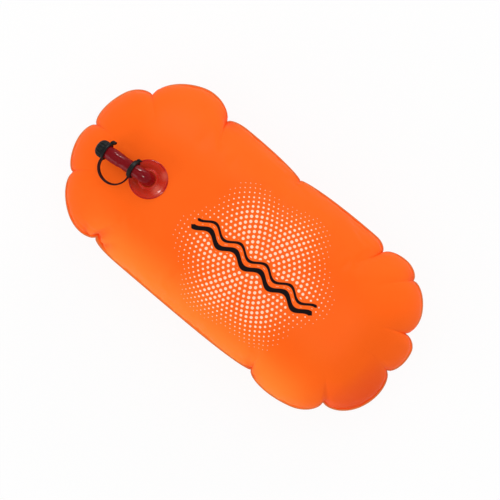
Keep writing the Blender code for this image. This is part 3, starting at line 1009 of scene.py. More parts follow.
@dataclass
class AirBag:
    """The inflated bag: two coated sheets, welded along a lobed edge."""

    sheet: float = 0.0006
    touch: float = 0.0003
    weld_margin: float = 0.003
    edge_step: float = 0.0026
    fullness_share: float = 0.6
    lobe_power: float = 2
    long_lobe_power: float = 4
    long_lobe_share: float = 0.4
    crowding_share: float = 0.55
    rounded_share: float = 0.955
    rounded_power: float = 4
    crown_length_share: float = 0.63
    crown_width_share: float = 0.25
    dome_rings: int = 60
    crown_rings: int = 9
    fade_power: float = 4
    smooth_angle: float = 1.2
    crown_lift: CrownLift = CrownLift()
    billow: Billow = Billow()
    pucker: Pucker = Pucker()
    sag: Sag = Sag()
    inflation: Inflation = Inflation()
    low: Vector = field(default_factory=lambda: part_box("lower_panel")[0])
    high: Vector = field(default_factory=lambda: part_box("upper_panel")[1])

    def __post_init__(self) -> None:
        """Reads the bag's driving sizes from the frame."""
        self.length = self.high.x - self.low.x
        self.width = self.high.y - self.low.y
        self.seam = (self.high.z + self.low.z) / 2
        self.edge_height = self.touch / 2 + self.sheet
        self.rise = (self.high.z - self.low.z) / 2 - self.edge_height

    def outline(self) -> tuple[np.ndarray, np.ndarray, list[int]]:
        """The welded edge in plan.

        Returns:
            Its points, the turn of each one round the bag, and the number of each notch.
        """
        half = Vector((self.length / 2, self.width / 2))
        notches = [Vector((lobe.along * half.x, lobe.across * half.y)) for lobe in LOBES]
        notch_turns = [math.atan2(lobe.across, lobe.along) for lobe in LOBES]
        points: list[Vector] = []
        turns: list[float] = []
        starts: list[int] = []
        for n, lobe in enumerate(LOBES):
            following = (n + 1) % len(LOBES)
            chord = notches[following] - notches[n]
            turn = (notch_turns[following] - notch_turns[n]) % math.tau
            outward = Vector((chord.y, -chord.x))
            is_long = chord.length > self.long_lobe_share * self.length
            power = self.long_lobe_power if is_long else self.lobe_power
            steps = round(chord.length / self.edge_step)
            starts.append(len(points))
            for step in range(steps):
                share = step / steps
                along = share - self.crowding_share * math.sin(math.tau * share) / math.tau
                off_peak = abs(along - lobe.peak) / (lobe.peak if along < lobe.peak else 1 - lobe.peak)
                rise = lobe.bulge * max(0, 1 - off_peak**power) ** self.fullness_share
                points.append(notches[n] + along * chord + rise * outward)
                turns.append(notch_turns[n] + along * turn)
        places = np.array(points)
        lowest, highest = places.min(0), places.max(0)
        size = np.array([self.length, self.width])
        places = (places - (lowest + highest) / 2) * size / (highest - lowest)
        return places, np.array(turns), starts

    def sheet_rings(self, side: Side) -> tuple[np.ndarray, np.ndarray, np.ndarray]:
        """The outer face of one sheet, as rings from its welded edge to the middle of its crown.

        Args:
            side: which sheet.

        Returns:
            Points as [ring, column, axis], their places on the skin, and the climb of each ring.
        """
        edge, turns, _ = self.outline()
        half = np.array([self.length, self.width]) / 2 * self.rounded_share
        spokes = np.stack([np.cos(turns), np.sin(turns)], 1)
        reach = (np.abs(spokes) ** self.rounded_power).sum(1, keepdims=True) ** (1 / self.rounded_power)
        rounded = half * spokes / reach
        crown = rounded * np.array([self.crown_length_share, self.crown_width_share])
        inward = crown - edge
        inner = edge + inward / np.linalg.norm(inward, axis=1, keepdims=True) * self.weld_margin
        climbs = np.linspace(0, QUARTER_TURN, self.dome_rings + 1)
        plans = [edge]
        heights = [0.0]
        skins = [crown + (rounded - crown) * QUARTER_TURN]
        for climb in climbs:
            lobed = math.cos(climb) ** self.fade_power * (inner - rounded)
            plans.append(crown + math.cos(climb) * (rounded - crown) + lobed)
            heights.append(self.rise * math.sin(climb))
            skins.append(crown + (rounded - crown) * (QUARTER_TURN - climb))
        for step in range(1, self.crown_rings):
            share = 1 - step / self.crown_rings
            plans.append(crown * share)
            heights.append(self.rise)
            skins.append(crown * share)
        climbs = np.concatenate([[0.0], climbs, np.full(self.crown_rings - 1, QUARTER_TURN)])
        rings = np.zeros((len(plans), len(edge), 3))
        skin = np.zeros((len(plans), len(edge), 2))
        for n, (plan, height) in enumerate(zip(plans, heights)):
            rings[n, :, :2] = plan
            rings[n, :, 2] = self.seam + side.value * (self.edge_height + height)
            skin[n, :, 0] = plan[:, 0]
            skin[n, :, 1] = skins[n][:, 1]
        return rings, skin, climbs

    @staticmethod
    def normals(rings: np.ndarray, side: Side) -> np.ndarray:
        """Which way each point of a sheet faces.

        Args:
            rings: the sheet's points.
            side: which sheet.

        Returns:
            The unit normals. The flat edge takes those of the first ring past it.
        """
        along = np.roll(rings, -1, 1) - np.roll(rings, 1, 1)
        up = np.gradient(rings, axis=0)
        normals = np.cross(along, up) * side.value
        normals[:2] = np.cross(along[2], up[2])[None] * side.value
        return normals / np.maximum(np.linalg.norm(normals, axis=2, keepdims=True), SHORTEST)

    def creased(
        self, rings: np.ndarray, climbs: np.ndarray, starts: Sequence[int], perimeter: float
    ) -> tuple[np.ndarray, np.ndarray]:
        """How the creases move a sheet, and where they paint shade and highlights on it.

        Args:
            rings: the sheet's points.
            climbs: the climb of each ring.
            starts: the number of each notch.
            perimeter: the length of the welded edge.

        Returns:
            The push of each point along its normal, and its painted shading, as folded gives it: painted
            shade in the folds and a painted highlight on each crest.
        """
        count = rings.shape[1]
        push = np.zeros(rings.shape[:2])
        fold = np.zeros(rings.shape[:2])
        spans = np.diff([*starts, count])
        for crease in CREASES:
            start = starts[crease.lobe] + crease.at * spans[crease.lobe]
            for n, climb in enumerate(climbs):
                share = climb / (crease.reach * QUARTER_TURN)
                if n == 0 or share >= 1:
                    continue
                column = start + crease.lean / perimeter * count * share
                low = int(math.floor(column))
                part = column - low
                middle = rings[n, low % count] * (1 - part) + rings[n, (low + 1) % count] * part
                off = np.linalg.norm(rings[n] - middle, axis=1) / (crease.width * (1 + share))
                depth = np.exp(-off if crease.sharp else -(off**2)) * (1 - share**2) ** 2
                push[n] -= crease.depth * depth
                # painted shade, deepest along the crease
                fold[n] = np.maximum(fold[n], depth)
                before = (np.arange(count) - column + count / 2) % count < count / 2
                # a painted highlight on the ridge beside the crease, kept as a negative share
                off_crest = (off - CREST_PLACE_SHARE) / CREST_SPREAD_SHARE
                painted_crest_highlight = crease.painted_crest_highlight * np.exp(-(off_crest**2)) * (1 - share**2) * before
                fold[n] = np.where(painted_crest_highlight > fold[n], -painted_crest_highlight, fold[n])
        return push, fold

    def slackened(
        self, push: np.ndarray, fold: np.ndarray, climbs: np.ndarray, starts: Sequence[int]
    ) -> None:
        """Lets the slack lobe sag and paints shade over it, in place.

        Args:
            push: the push of each point.
            fold: the painted shading of each point, which gets painted shade over the slack lobe.
            climbs: the climb of each ring.
            starts: the number of each notch.
        """
        count = push.shape[1]
        first = starts[self.sag.lobe]
        span = np.diff([*starts, count])[self.sag.lobe]
        arch = np.sin(math.pi * np.clip((np.arange(count) - first) / span, 0, 1))
        for n, climb in enumerate(climbs[1:], 1):
            share = min(1, climb / (self.sag.reach * QUARTER_TURN))
            slack = arch**self.sag.spread_power * math.sin(math.pi * share) ** self.sag.climb_power
            push[n] -= self.sag.depth * slack
            # painted shade over the slack lobe
            fold[n] = np.maximum(fold[n], arch**self.sag.shade_power * (1 - share**2))

    def billowed(self, rings: np.ndarray, climbs: np.ndarray) -> np.ndarray:
        """How far the soft unevenness pushes each point of the upper sheet.

        Args:
            rings: the sheet's points.
            climbs: the climb of each ring.

        Returns:
            The push of each point.
        """
        push = np.zeros(rings.shape[:2])
        for n, climb in enumerate(climbs):
            calm = 1 - self.billow.calm_share * math.sin(climb) ** self.billow.calm_power
            taper = math.sin(climb) * calm
            for column, place in enumerate(rings[n]):
                push[n, column] = self.billow.height * noise.noise(Vector(place) / self.billow.size) * taper
        return push

    def folded(self, rings: np.ndarray, climbs: np.ndarray, side: Side) -> tuple[np.ndarray, np.ndarray]:
        """Sinks the creases into a sheet and lets it billow between them.

        Args:
            rings: the sheet's points.
            climbs: the climb of each ring.
            side: which sheet.

        Returns:
            The new points, and each one's painted shading: painted shade from 0 to 1, deepest in a fold and
            on the slack lobe, or a painted highlight on a crest, down to -1.
        """
        _, _, starts = self.outline()
        count = rings.shape[1]
        perimeter = np.linalg.norm(np.roll(rings[0], -1, 0) - rings[0], axis=1).sum()
        push, fold = self.creased(rings, climbs, starts, perimeter)
        steps = np.arange(count) / count * perimeter
        drift = self.pucker.drift * np.sin(steps * self.pucker.drift_rate)
        ripple = np.sin(steps * math.tau / self.pucker.length + drift)
        for n, climb in enumerate(climbs[1:], 1):
            push[n] += self.pucker.height * ripple * math.exp(-climb / self.pucker.fade)
        if side is Side.UPPER:
            self.slackened(push, fold, climbs, starts)
            push += self.billowed(rings, climbs)
        moved = rings + self.normals(rings, side) * push[..., None]
        if side is Side.UPPER:
            lift = self.crown_lift
            half_crown = self.length / 2 * self.rounded_share * self.crown_length_share
            hump = np.cos(np.clip(rings[..., 0] / half_crown, -1, 1) * QUARTER_TURN) ** lift.hump_power
            moved[..., 2] += lift.height * hump * np.sin(climbs)[:, None] ** lift.climb_power
        return moved, fold

    def inflated(self, piece: bpy.types.Object) -> None:
        """Lets a coarse copy of the bag settle as cloth under pressure and moves the bag as it moved.

        Args:
            piece: the bag, still undressed.
        """
        plan = self.inflation
        scene = bpy.context.scene
        copy = bpy.data.objects.new("settling", piece.data.copy())
        scene.collection.objects.link(copy)
        Workshop.hold(copy)
        remesh = copy.modifiers.new("grain", "REMESH")
        remesh.mode = "VOXEL"
        remesh.voxel_size = plan.grain
        bpy.ops.object.modifier_apply(modifier=remesh.name)
        before = [vert.co.copy() for vert in copy.data.vertices]
        weld = copy.vertex_groups.new(name="weld")
        pinned = [n for n, place in enumerate(before) if abs(place.z - self.seam) < plan.held]
        weld.add(pinned, 1.0, "REPLACE")
        cloth = copy.modifiers.new("air", "CLOTH")
        cloth.settings.quality = plan.quality
        cloth.settings.mass = plan.mass
        cloth.settings.bending_stiffness = plan.stiffness
        cloth.settings.use_pressure = True
        cloth.settings.uniform_pressure_force = plan.pressure
        cloth.settings.shrink_min = -plan.slack
        cloth.settings.vertex_group_mass = weld.name
        cloth.settings.effector_weights.gravity = 0
        for frame_number in range(1, plan.frames + 1):
            scene.frame_set(frame_number)
        settled = copy.evaluated_get(bpy.context.evaluated_depsgraph_get())
        moves = [vert.co - start for vert, start in zip(settled.data.vertices, before)]
        LOG.info("cloth: %d points, farthest %.4f m", len(moves), max(move.length for move in moves))
        tree = KDTree(len(before))
        for n, place in enumerate(before):
            tree.insert(place, n)
        tree.balance()
        for vert in piece.data.vertices:
            near = tree.find_n(vert.co, plan.neighbours)
            weights = [1 / (off**2 + (plan.grain / plan.blur_share) ** 2) for _, _, off in near]
            drawn = (moves[n] * weight for (_, n, _), weight in zip(near, weights))
            move = sum(drawn, Vector()) / sum(weights)
            off_weld = max(0.0, abs(vert.co.z - self.seam) - plan.held)
            free = min(1.0, off_weld / (plan.free_share * plan.grain))
            vert.co += move * free * min(1.0, plan.cap / max(move.length, SHORTEST))
            vert.co.z = max(vert.co.z, self.low.z)
        bpy.data.objects.remove(copy)
        scene.frame_set(1)

    def build(self) -> bpy.types.Object:
        """The closed bag as one padded piece."""
        upper, upper_skin, climbs = self.sheet_rings(Side.UPPER)
        lower, lower_skin, _ = self.sheet_rings(Side.LOWER)
        upper, upper_shading = self.folded(upper, climbs, Side.UPPER)
        lower, lower_shading = self.folded(lower, climbs, Side.LOWER)
        lower[..., 2] = np.maximum(lower[..., 2], self.low.z)
        points = np.concatenate([upper[::-1], lower])
        skins = np.concatenate([upper_skin[::-1], lower_skin])
        shading_values = np.concatenate([upper_shading[::-1], lower_shading])
        count = points.shape[1]
        rows = points.shape[0]
        welds = np.zeros((rows, count))
        middle = rows // 2
        welds[middle - 1 : middle + 1] = 1.0
        faces = []
        for row in range(rows - 1):
            for column in range(count):
                following = (column + 1) % count
                faces.append((
                    row * count + column,
                    (row + 1) * count + column,
                    (row + 1) * count + following,
                    row * count + following,
                ))
        faces.append(tuple(range(count)))
        faces.append(tuple((rows - 1) * count + column for column in reversed(range(count))))
        piece = Workshop.sewn("bladder", points.reshape(-1, 3).tolist(), faces, skins.reshape(-1, 2))
        Workshop.marked(piece, WELD_SHARE, welds.ravel())
        Workshop.marked(piece, PAINTED_SHADING_SHARE, shading_values.ravel())
        self.inflated(piece)
        Workshop.turn_out(piece)
        Workshop.settle(piece, angle=self.smooth_angle)
        Workshop.dress(piece, PRINTED_SHEET.material(), "coated_sheet")
        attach(piece, Body.BAG.value)
        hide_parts("upper_panel", "lower_panel")
        LOG.info("bladder: %d points", len(piece.data.vertices))
        return piece


# The valve


class Datum(Enum):
    """What the points of a turned section are measured from: radii first, then heights."""

    AXIS = "axis"
    BORE = "bore"
    SOCKET = "socket"
    BOSS = "boss"
    RIM = "rim"
    INSIDE = "inside"
    OUTSIDE = "outside"
    FOOT = "foot"
    TOP = "top"
    MOUTH = "mouth"
    ROOF = "roof"
    CROWN = "crown"


Section = tuple[tuple[Datum, float, Datum, float], ...]

# The flange, from the socket's floor up over the boss, out to the welded rim and back below
FLANGE_SECTION: Section = (
    (Datum.SOCKET, 0.0, Datum.FOOT, 0.0018),
    (Datum.SOCKET, 0.0, Datum.TOP, -0.0005),
    (Datum.SOCKET, 0.0005, Datum.TOP, 0.0),
    (Datum.BOSS, -0.0012, Datum.TOP, 0.0002),
    (Datum.BOSS, -0.0004, Datum.TOP, -0.0003),
    (Datum.BOSS, 0.0, Datum.TOP, -0.0012),
    (Datum.BOSS, 0.0002, Datum.FOOT, 0.0030),
    (Datum.BOSS, 0.0008, Datum.FOOT, 0.0020),
    (Datum.BOSS, 0.0018, Datum.FOOT, 0.0016),
    (Datum.RIM, -0.0062, Datum.FOOT, 0.0013),
    (Datum.RIM, -0.0052, Datum.FOOT, 0.0017),
    (Datum.RIM, -0.0046, Datum.FOOT, 0.0017),
    (Datum.RIM, -0.0036, Datum.FOOT, 0.0011),
    (Datum.RIM, -0.0016, Datum.FOOT, 0.0010),
    (Datum.RIM, -0.0004, Datum.FOOT, 0.0008),
    (Datum.RIM, 0.0, Datum.FOOT, 0.0004),
    (Datum.RIM, -0.0003, Datum.FOOT, 0.0),
    (Datum.BOSS, 0.0, Datum.FOOT, 0.0),
    (Datum.BORE, 0.0, Datum.FOOT, 0.0),
    (Datum.BORE, 0.0, Datum.FOOT, 0.0018),
    (Datum.SOCKET, 0.0, Datum.FOOT, 0.0018),
)

# The dust cap, from the middle of its roof down its inside, round its mouth and up to its shoulder
CAP_SECTION: Section = (
    (Datum.AXIS, 0.0016, Datum.ROOF, 0.0),
    (Datum.AXIS, 0.0031, Datum.ROOF, 0.0),
    (Datum.INSIDE, -0.0012, Datum.ROOF, -0.0014),
    (Datum.INSIDE, 0.0, Datum.ROOF, -0.0030),
    (Datum.INSIDE, 0.0, Datum.MOUTH, 0.0004),
    (Datum.INSIDE, 0.0004, Datum.MOUTH, 0.0),
    (Datum.OUTSIDE, -0.0008, Datum.MOUTH, 0.0),
    (Datum.OUTSIDE, -0.0002, Datum.MOUTH, 0.0003),
    (Datum.OUTSIDE, 0.0, Datum.MOUTH, 0.0007),
    (Datum.OUTSIDE, 0.0, Datum.MOUTH, 0.0029),
    (Datum.OUTSIDE, -0.0004, Datum.MOUTH, 0.0033),
    (Datum.OUTSIDE, -0.0004, Datum.MOUTH, 0.0038),
    (Datum.OUTSIDE, 0.0, Datum.MOUTH, 0.0042),
    (Datum.OUTSIDE, 0.0, Datum.MOUTH, 0.0052),
    (Datum.OUTSIDE, 0.0, Datum.MOUTH, 0.0062),
)

# The dimple in the middle of the cap's crown
DIMPLE_SECTION: Section = (
    (Datum.AXIS, 0.0036, Datum.CROWN, -0.0001),
    (Datum.AXIS, 0.0030, Datum.CROWN, -0.0006),
    (Datum.AXIS, 0.0020, Datum.CROWN, -0.0007),
)


@dataclass(frozen=True)
class PullTab:
    """A rounded tab that stands out of a ring.

    lean is how far its tip moves along the axis. Each of its steps is a share of its reach, with
    the growth of its width and of its length along the axis.
    """

    half_width: float
    reach: float
    lean: float
    steps: tuple[tuple[float, float, float], ...] = ((0.40, 1.0, 1.9), (0.40, 0.96, 1.0), (0.20, 0.74, 0.80))
    root_share: float = 0.9
    slack_share: float = 0.04


@dataclass(frozen=True)
class Swelling:
    """A bulge or a waist of the tube, in shares of its run up to the cap."""

    place: float
    spread: float
    height: float


@dataclass(frozen=True)
class Flutes:
    """The grip of the dust cap: what share of the depth each point beside a flute's middle takes."""

    count: int = 16
    depth: float = 0.0008
    depth_shares: tuple[float, ...] = (1.0, 0.85, 0.5, 0.15)
    points: int = 8
    lowest: float = 0.0036
    wall: float = 0.0012
    least_radius: float = 0.0050
    near: float = 0.2


@dataclass
class OralValve:
    """The oral valve: flange, soft tube, retainer ring, strap, dust cap and check valve.

    over_bag is how far above the flange the rays start that feel for the bag, and skirt_ramp how
    soon beside the boss the flange follows it. supple is not used. strap_broadens is where along
    the strap it starts to grow from strap_radius to strap_root, and over which share of it.
    strap_foot is how much thicker it is where it leaves the ring. strap_held_steps is not used.
    """

    bag: bpy.types.Object
    flange_radius: float = 0.022
    flange_steps: int = 120
    boss_radius: float = 0.011
    boss_height: float = 0.005
    skirt_ramp: float = 4
    over_bag: float = 0.05
    tube_radius: float = 0.0075
    bore_radius: float = 0.005
    tube_foot: float = 0.0021
    tube_sides: int = 22
    tube_rounding: float = 0.0004
    leg_top: float = 0.0065
    bend_radius: float = 0.010
    bend_swell_share: float = 0.02
    bend_steps: int = 22
    run_steps: int = 46
    swellings: tuple[Swelling, ...] = (
        Swelling(0.78, 0.15, 0.00055),
        Swelling(0.42, 0.12, -0.00035),
        Swelling(0.57, 0.035, 0.00035),
    )
    supple: tuple[float, float] = (0.12, 0.75)
    touch: float = 0.0003
    ring_width: float = 0.005
    ring_wall: float = 0.0026
    ring_rounding: float = 0.0007
    ring_steps: int = 96
    ring_tab: PullTab = PullTab(0.0028, 0.0026, -0.0012)
    ring_tab_half: float = 0.001
    cap_wall: float = 0.0024
    cap_top: float = 0.0016
    cap_shoulder: float = 0.0062
    cap_crown_radius: float = 0.0040
    cap_crown_power: float = 0.9
    cap_crown_steps: int = 10
    cap_tab: PullTab = PullTab(0.0034, 0.0042, -0.0022)
    cap_tab_span: tuple[float, float] = (0.0007, 0.0029)
    flutes: Flutes = Flutes()
    strap_reach: float = 0.0183
    strap_sag: float = 0.005
    strap_bow: float = 0.0022
    strap_radius: float = 0.00095
    strap_root: float = 0.0018
    strap_place: float = 0.0018
    strap_in_ring: float = 0.0004
    strap_in_cap: float = 0.0008
    strap_foot: float = 0.0006
    strap_foot_share: float = 0.03
    strap_broadens: tuple[float, float] = (0.25, 0.45)
    strap_steps: int = 60
    strap_sides: int = 6
    strap_held_steps: int = 4
    spring_wire: float = 0.00022
    spring_sides: int = 3
    spring_radius: float = 0.0019
    spring_turns: int = 4
    spring_steps: int = 24

    def __post_init__(self) -> None:
        """Reads the valve's axes from the frame."""
        low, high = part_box("valve_flange")
        joints = {joint["name"]: joint for joint in frame["joints"]}
        along = Vector(joints["ring_turn"]["axis"]).normalized()
        across = Vector((-along.y, along.x, 0)).normalized()
        self.droop = -math.asin(along.z)
        aim = math.atan2(along.y, along.x)
        foot = Matrix.Translation(((low.x + high.x) / 2, (low.y + high.y) / 2, low.z))
        self.foot = foot @ Matrix.Rotation(aim, 4, "Z")
        start = Vector(joints["ring_turn"]["pos_m"])
        down = across.cross(along)
        self.line = Matrix((
            (down.x, across.x, along.x, start.x),
            (down.y, across.y, along.y, start.y),
            (down.z, across.z, along.z, start.z),
            (0, 0, 0, 1),
        ))
        self.tube_length = self.reach_of("oral_tube")[1]
        self.ring_place = sum(self.reach_of("cap_retainer_ring")) / 2
        self.cap_start, self.cap_end = self.reach_of("dust_cap")

    def reach_of(self, name: str) -> tuple[float, float]:
        """Where a CAD solid starts and ends along the tube's straight run."""
        inverse = self.line.inverted()
        reaches = [(inverse @ vert.co).z for vert in frame["nodes"][name].data.vertices]
        return min(reaches), max(reaches)

    @staticmethod
    def profile(section: Section, places: dict[Datum, float]) -> list[tuple[float, float]]:
        """Turns a section into radii and heights.

        Args:
            section: its points.
            places: where each thing that they are measured from lies.

        Returns:
            The radius and height of each point.
        """
        return [(places[side] + out, places[level] + up) for side, out, level, up in section]

    def flange(self) -> bpy.types.Object:
        """The welded disc with its boss, laid on the bag."""
        places = {
            Datum.BORE: self.bore_radius,
            Datum.SOCKET: self.tube_radius + self.touch,
            Datum.BOSS: self.boss_radius,
            Datum.RIM: self.flange_radius,
            Datum.FOOT: 0.0,
            Datum.TOP: self.boss_height,
        }
        profile = self.profile(FLANGE_SECTION, places)
        piece = Workshop.ring_through("flange_disc", profile, self.flange_steps)
        Workshop.tidy(piece)
        Workshop.settle(piece, self.foot)
        self.lay_on_bag(piece)
        painted_patches = tuple(replace(patch, place=self.foot @ patch.place) for patch in FLANGE_PAINTED_PATCHES)
        Workshop.dress(piece, replace(RED_FLANGE, painted_patches=painted_patches).material(), "clear_red")
        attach(piece, Body.BAG.value)
        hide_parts("valve_flange")
        return piece

    def lay_on_bag(self, piece: bpy.types.Object) -> None:
        """Lets the flange's skirt follow the bag under it."""
        tree = BVHTree.FromObject(self.bag, bpy.context.evaluated_depsgraph_get())
        centre = self.foot.translation
        for vert in piece.data.vertices:
            out = (vert.co.xy - centre.xy).length
            share = min(max((out - self.boss_radius) / (self.flange_radius - self.boss_radius), 0), 1)
            hit = tree.ray_cast(vert.co + Vector((0, 0, self.over_bag)), Vector((0, 0, -1)))[0]
            if hit is not None and share > 0:
                vert.co.z += (hit.z + self.touch - centre.z) * min(1, share * self.skirt_ramp)

    def centre_line(self) -> tuple[list[Vector], list[float]]:
        """The tube's centre line with its outer radius at each point."""
        path = [self.foot @ Vector((0, 0, height)) for height in (self.tube_foot, self.boss_height)]
        outer = [self.tube_radius] * len(path)
        turn = QUARTER_TURN + self.droop
        steps = self.bend_steps
        for step in range(steps + 1):
            angle = turn * step / steps
            path.append(self.foot @ Vector((
                self.bend_radius * (1 - math.cos(angle)),
                0,
                self.leg_top + self.bend_radius * math.sin(angle),
            )))
            outer.append(self.tube_radius * (1 + self.bend_swell_share * math.sin(math.pi * step / steps)))
        for step in range(1, self.run_steps + 1):
            reach = self.tube_length * step / self.run_steps
            path.append(self.line @ Vector((0, 0, reach)))
            outer.append(self.wall_at(reach))
        return path, outer

    def wall_at(self, reach: float) -> float:
        """The tube's outer radius, which swells into the mouthpiece before the cap.

        Args:
            reach: metres along the straight run.

        Returns:
            The radius.
        """
        share = reach / self.cap_start
        radius = self.tube_radius
        for swelling in self.swellings:
            off = (share - swelling.place) / swelling.spread
            radius += math.exp(-(off**2)) * swelling.height
        return radius

    def tube(self) -> bpy.types.Object:
        """The soft tube from the boss to the tip, bored through."""
        path, outer = self.centre_line()
        bore = [self.bore_radius] * len(path)
        skin = Workshop.swept("soft_tube", path, outer, self.tube_sides, capped=False)
        inside = Workshop.swept("soft_tube_bore", path, bore, self.tube_sides, capped=False)
        Workshop.hold(skin)
        inside.select_set(True)
        bpy.ops.object.join()
        skin = bpy.context.active_object
        bpy.ops.object.mode_set(mode="EDIT")
        reach = self.tube_radius + self.bore_radius / 2
        for end in (path[0], path[-1]):
            Workshop.pick(skin, lambda middle, end=end: (middle - end).length < reach, edges=True)
            bpy.ops.mesh.bridge_edge_loops()
        Workshop.tidy(skin)
        Workshop.rounded(skin, self.tube_rounding, 2)
        Workshop.settle(skin)
        Workshop.dress(skin, RED_TUBE.material(), "clear_red")
        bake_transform(skin)
        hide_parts("tube_elbow", "oral_tube")
        return skin

    def retainer_ring(self) -> bpy.types.Object:
        """The ring that holds the strap on the tube, with its pull tab."""
        inner = self.tube_radius + self.touch
        outer = inner + self.ring_wall
        low = self.ring_place - self.ring_width / 2
        high = self.ring_place + self.ring_width / 2
        soft = self.ring_rounding
        tab = (self.ring_place - self.ring_tab_half, self.ring_place + self.ring_tab_half)
        profile = [
            (inner, low + soft / 2),
            (inner + soft / 2, low),
            (outer - soft, low),
            (outer - soft / 3, low + soft / 3),
            (outer, low + soft),
            (outer, tab[0]),
            (outer, tab[1]),
            (outer, high - soft),
            (outer - soft / 3, high - soft / 3),
            (outer - soft, high),
            (inner + soft / 2, high),
            (inner, high - soft / 2),
            (inner, low + soft / 2),
        ]
        piece = Workshop.ring_through("strap_ring", profile, self.ring_steps)
        self.draw_tab(piece, outer, tab, self.ring_tab)
        Workshop.tidy(piece)
        Workshop.settle(piece, self.line)
        Workshop.dress(piece, BLACK_RUBBER.material(), "black_rubber")
        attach(piece, Body.RING.value)
        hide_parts("cap_retainer_ring")
        return piece

    @staticmethod
    def draw_tab(
        piece: bpy.types.Object,
        radius: float,
        span: tuple[float, float],
        tab: PullTab,
    ) -> None:
        """Draws a tab out of a ring's -Y side.

        Args:
            piece: the ring, in edit mode on its own axes.
            radius: its outer radius there.
            span: lowest and highest place of the tab along the axis.
            tab: the tab's shape.
        """
        low, high = span
        Workshop.pick(
            piece,
            lambda middle: middle.y < -radius * tab.root_share
            and abs(middle.x) < tab.half_width
            and low - MERGE_DISTANCE < middle.z < high + MERGE_DISTANCE
            and middle.xy.length > radius - radius * tab.slack_share,
        )
        middle = (low + high) / 2
        for share, size, growth in tab.steps:
            middle += tab.lean * share
            step = (0, -tab.reach * share, tab.lean * share)
            bpy.ops.mesh.extrude_region_move(TRANSFORM_OT_translate={"value": step})
            bpy.ops.transform.resize(value=(size, 1, growth), center_override=(0, 0, middle))

    def dust_cap(self) -> bpy.types.Object:
        """The fluted dust cap with its lift tab."""
        start = self.cap_start
        inner = self.tube_radius + self.touch
        outer = inner + self.cap_wall
        crown = self.cap_end
        shoulder = start + self.cap_shoulder
        places = {
            Datum.AXIS: 0.0,
            Datum.INSIDE: inner,
            Datum.OUTSIDE: outer,
            Datum.MOUTH: start,
            Datum.ROOF: crown - self.cap_top,
            Datum.CROWN: crown,
        }
        profile = self.profile(CAP_SECTION, places)
        middle = self.cap_crown_radius
        for step in range(1, self.cap_crown_steps + 1):
            angle = QUARTER_TURN * step / self.cap_crown_steps
            profile.append((
                middle + (outer - middle) * math.cos(angle) ** self.cap_crown_power,
                shoulder + (crown - shoulder) * math.sin(angle),
            ))
        profile += self.profile(DIMPLE_SECTION, places)
        flutes = self.flutes
        piece = Workshop.ring_through("fluted_cap", profile, flutes.points * flutes.count)
        pitch = math.tau / flutes.count
        for off, share in enumerate(flutes.depth_shares):
            def in_flute(spot: Vector, off: int = off) -> bool:
                """Whether a point of the grip lies that many points from a flute's middle."""
                out = spot.xy.length
                grip = spot.z > shoulder or spot.z > start + flutes.lowest and out > inner + flutes.wall
                turn = math.atan2(spot.y, spot.x)
                points_off = abs((turn / pitch + 0.5) % 1 - 0.5) * flutes.points
                return grip and out > flutes.least_radius and abs(points_off - off) < flutes.near

            if Workshop.pick_points(piece, in_flute):
                size = 1 - flutes.depth * share / outer
                bpy.ops.transform.resize(value=(size, size, 1), center_override=(0, 0, start))
        low, high = self.cap_tab_span
        self.draw_tab(piece, outer, (start + low, start + high), self.cap_tab)
        Workshop.close_ends(piece)
        Workshop.tidy(piece)
        Workshop.settle(piece, self.line)
        Workshop.dress(piece, BLACK_RUBBER.material(), "black_rubber")
        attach(piece, Body.CAP.value)
        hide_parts("dust_cap")
        return piece

    def strap(self) -> bpy.types.Object:
        """The strap that loops from the ring to the cap."""
        ring_side = self.tube_radius + self.touch + self.ring_wall - self.strap_in_ring
        cap_side = self.tube_radius + self.touch + self.cap_wall - self.strap_in_cap
        cap_end = self.cap_start + self.strap_place
        middle = (self.ring_place + cap_end) / 2
        half = (cap_end - self.ring_place) / 2
        thin_share, broadening_share = self.strap_broadens
        path = []
        radii = []
        for step in range(self.strap_steps + 1):
            share = step / self.strap_steps
            angle = math.pi * share
            base = ring_side + (cap_side - ring_side) * share
            path.append(self.line @ Vector((
                self.strap_sag * math.sin(angle) ** 2,
                base + self.strap_reach * math.sin(angle),
                middle - half * math.cos(angle) + self.strap_bow * math.sin(angle) * share,
            )))
            foot = self.strap_foot * math.exp(-share / self.strap_foot_share)
            broad = min(1.0, max(0.0, share - thin_share) / broadening_share)
            radii.append(self.strap_radius + (self.strap_root - self.strap_radius) * broad + foot)
        piece = Workshop.swept("cap_strap_loop", path, radii, self.strap_sides)
        Workshop.settle(piece)
        Workshop.dress(piece, STRAP_RUBBER.material(), "black_rubber")
        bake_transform(piece)
        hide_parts("cap_strap")
        return piece

    def check_valve(self) -> None:
        """Dresses the check valve's CAD solids in the tube's tip."""
        for name, finish in (
            ("valve_housing", WHITE_PLASTIC),
            ("valve_poppet", WHITE_PLASTIC),
            ("mouth_button", WHITE_PLASTIC),
            ("poppet_seal", SEAL_RUBBER),
        ):
            solid = frame["nodes"][name]
            solid.data.materials.clear()
            solid.data.materials.append(finish.material())
            LOG.info("%s dressed", name)

    def spring(self) -> bpy.types.Object:
        """The poppet's return spring, which shortens as the button is pressed."""
        wire = self.spring_wire
        first, last = self.reach_of("poppet_spring")
        first, last = first + wire, last - wire
        steps = self.spring_turns * self.spring_steps
        path = []
        for step in range(steps + 1):
            angle = math.tau * step / self.spring_steps
            path.append(self.line @ Vector((
                self.spring_radius * math.cos(angle),
                self.spring_radius * math.sin(angle),
                first + (last - first) * step / steps,
            )))
        piece = Workshop.swept("return_spring", path, [wire] * len(path), self.spring_sides)
        Workshop.settle(piece)
        Workshop.dress(piece, SPRING_STEEL.material(), "spring_steel")
        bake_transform(piece)
        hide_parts("poppet_spring")
        return piece

    def build(self) -> None:
        """Builds and dresses the whole valve."""
        for make in (self.flange, self.tube, self.retainer_ring, self.dust_cap, self.strap, self.spring):
            piece = make()
            LOG.info("%s: %d points", piece.name, len(piece.data.vertices))
        self.check_valve()


# The tow point


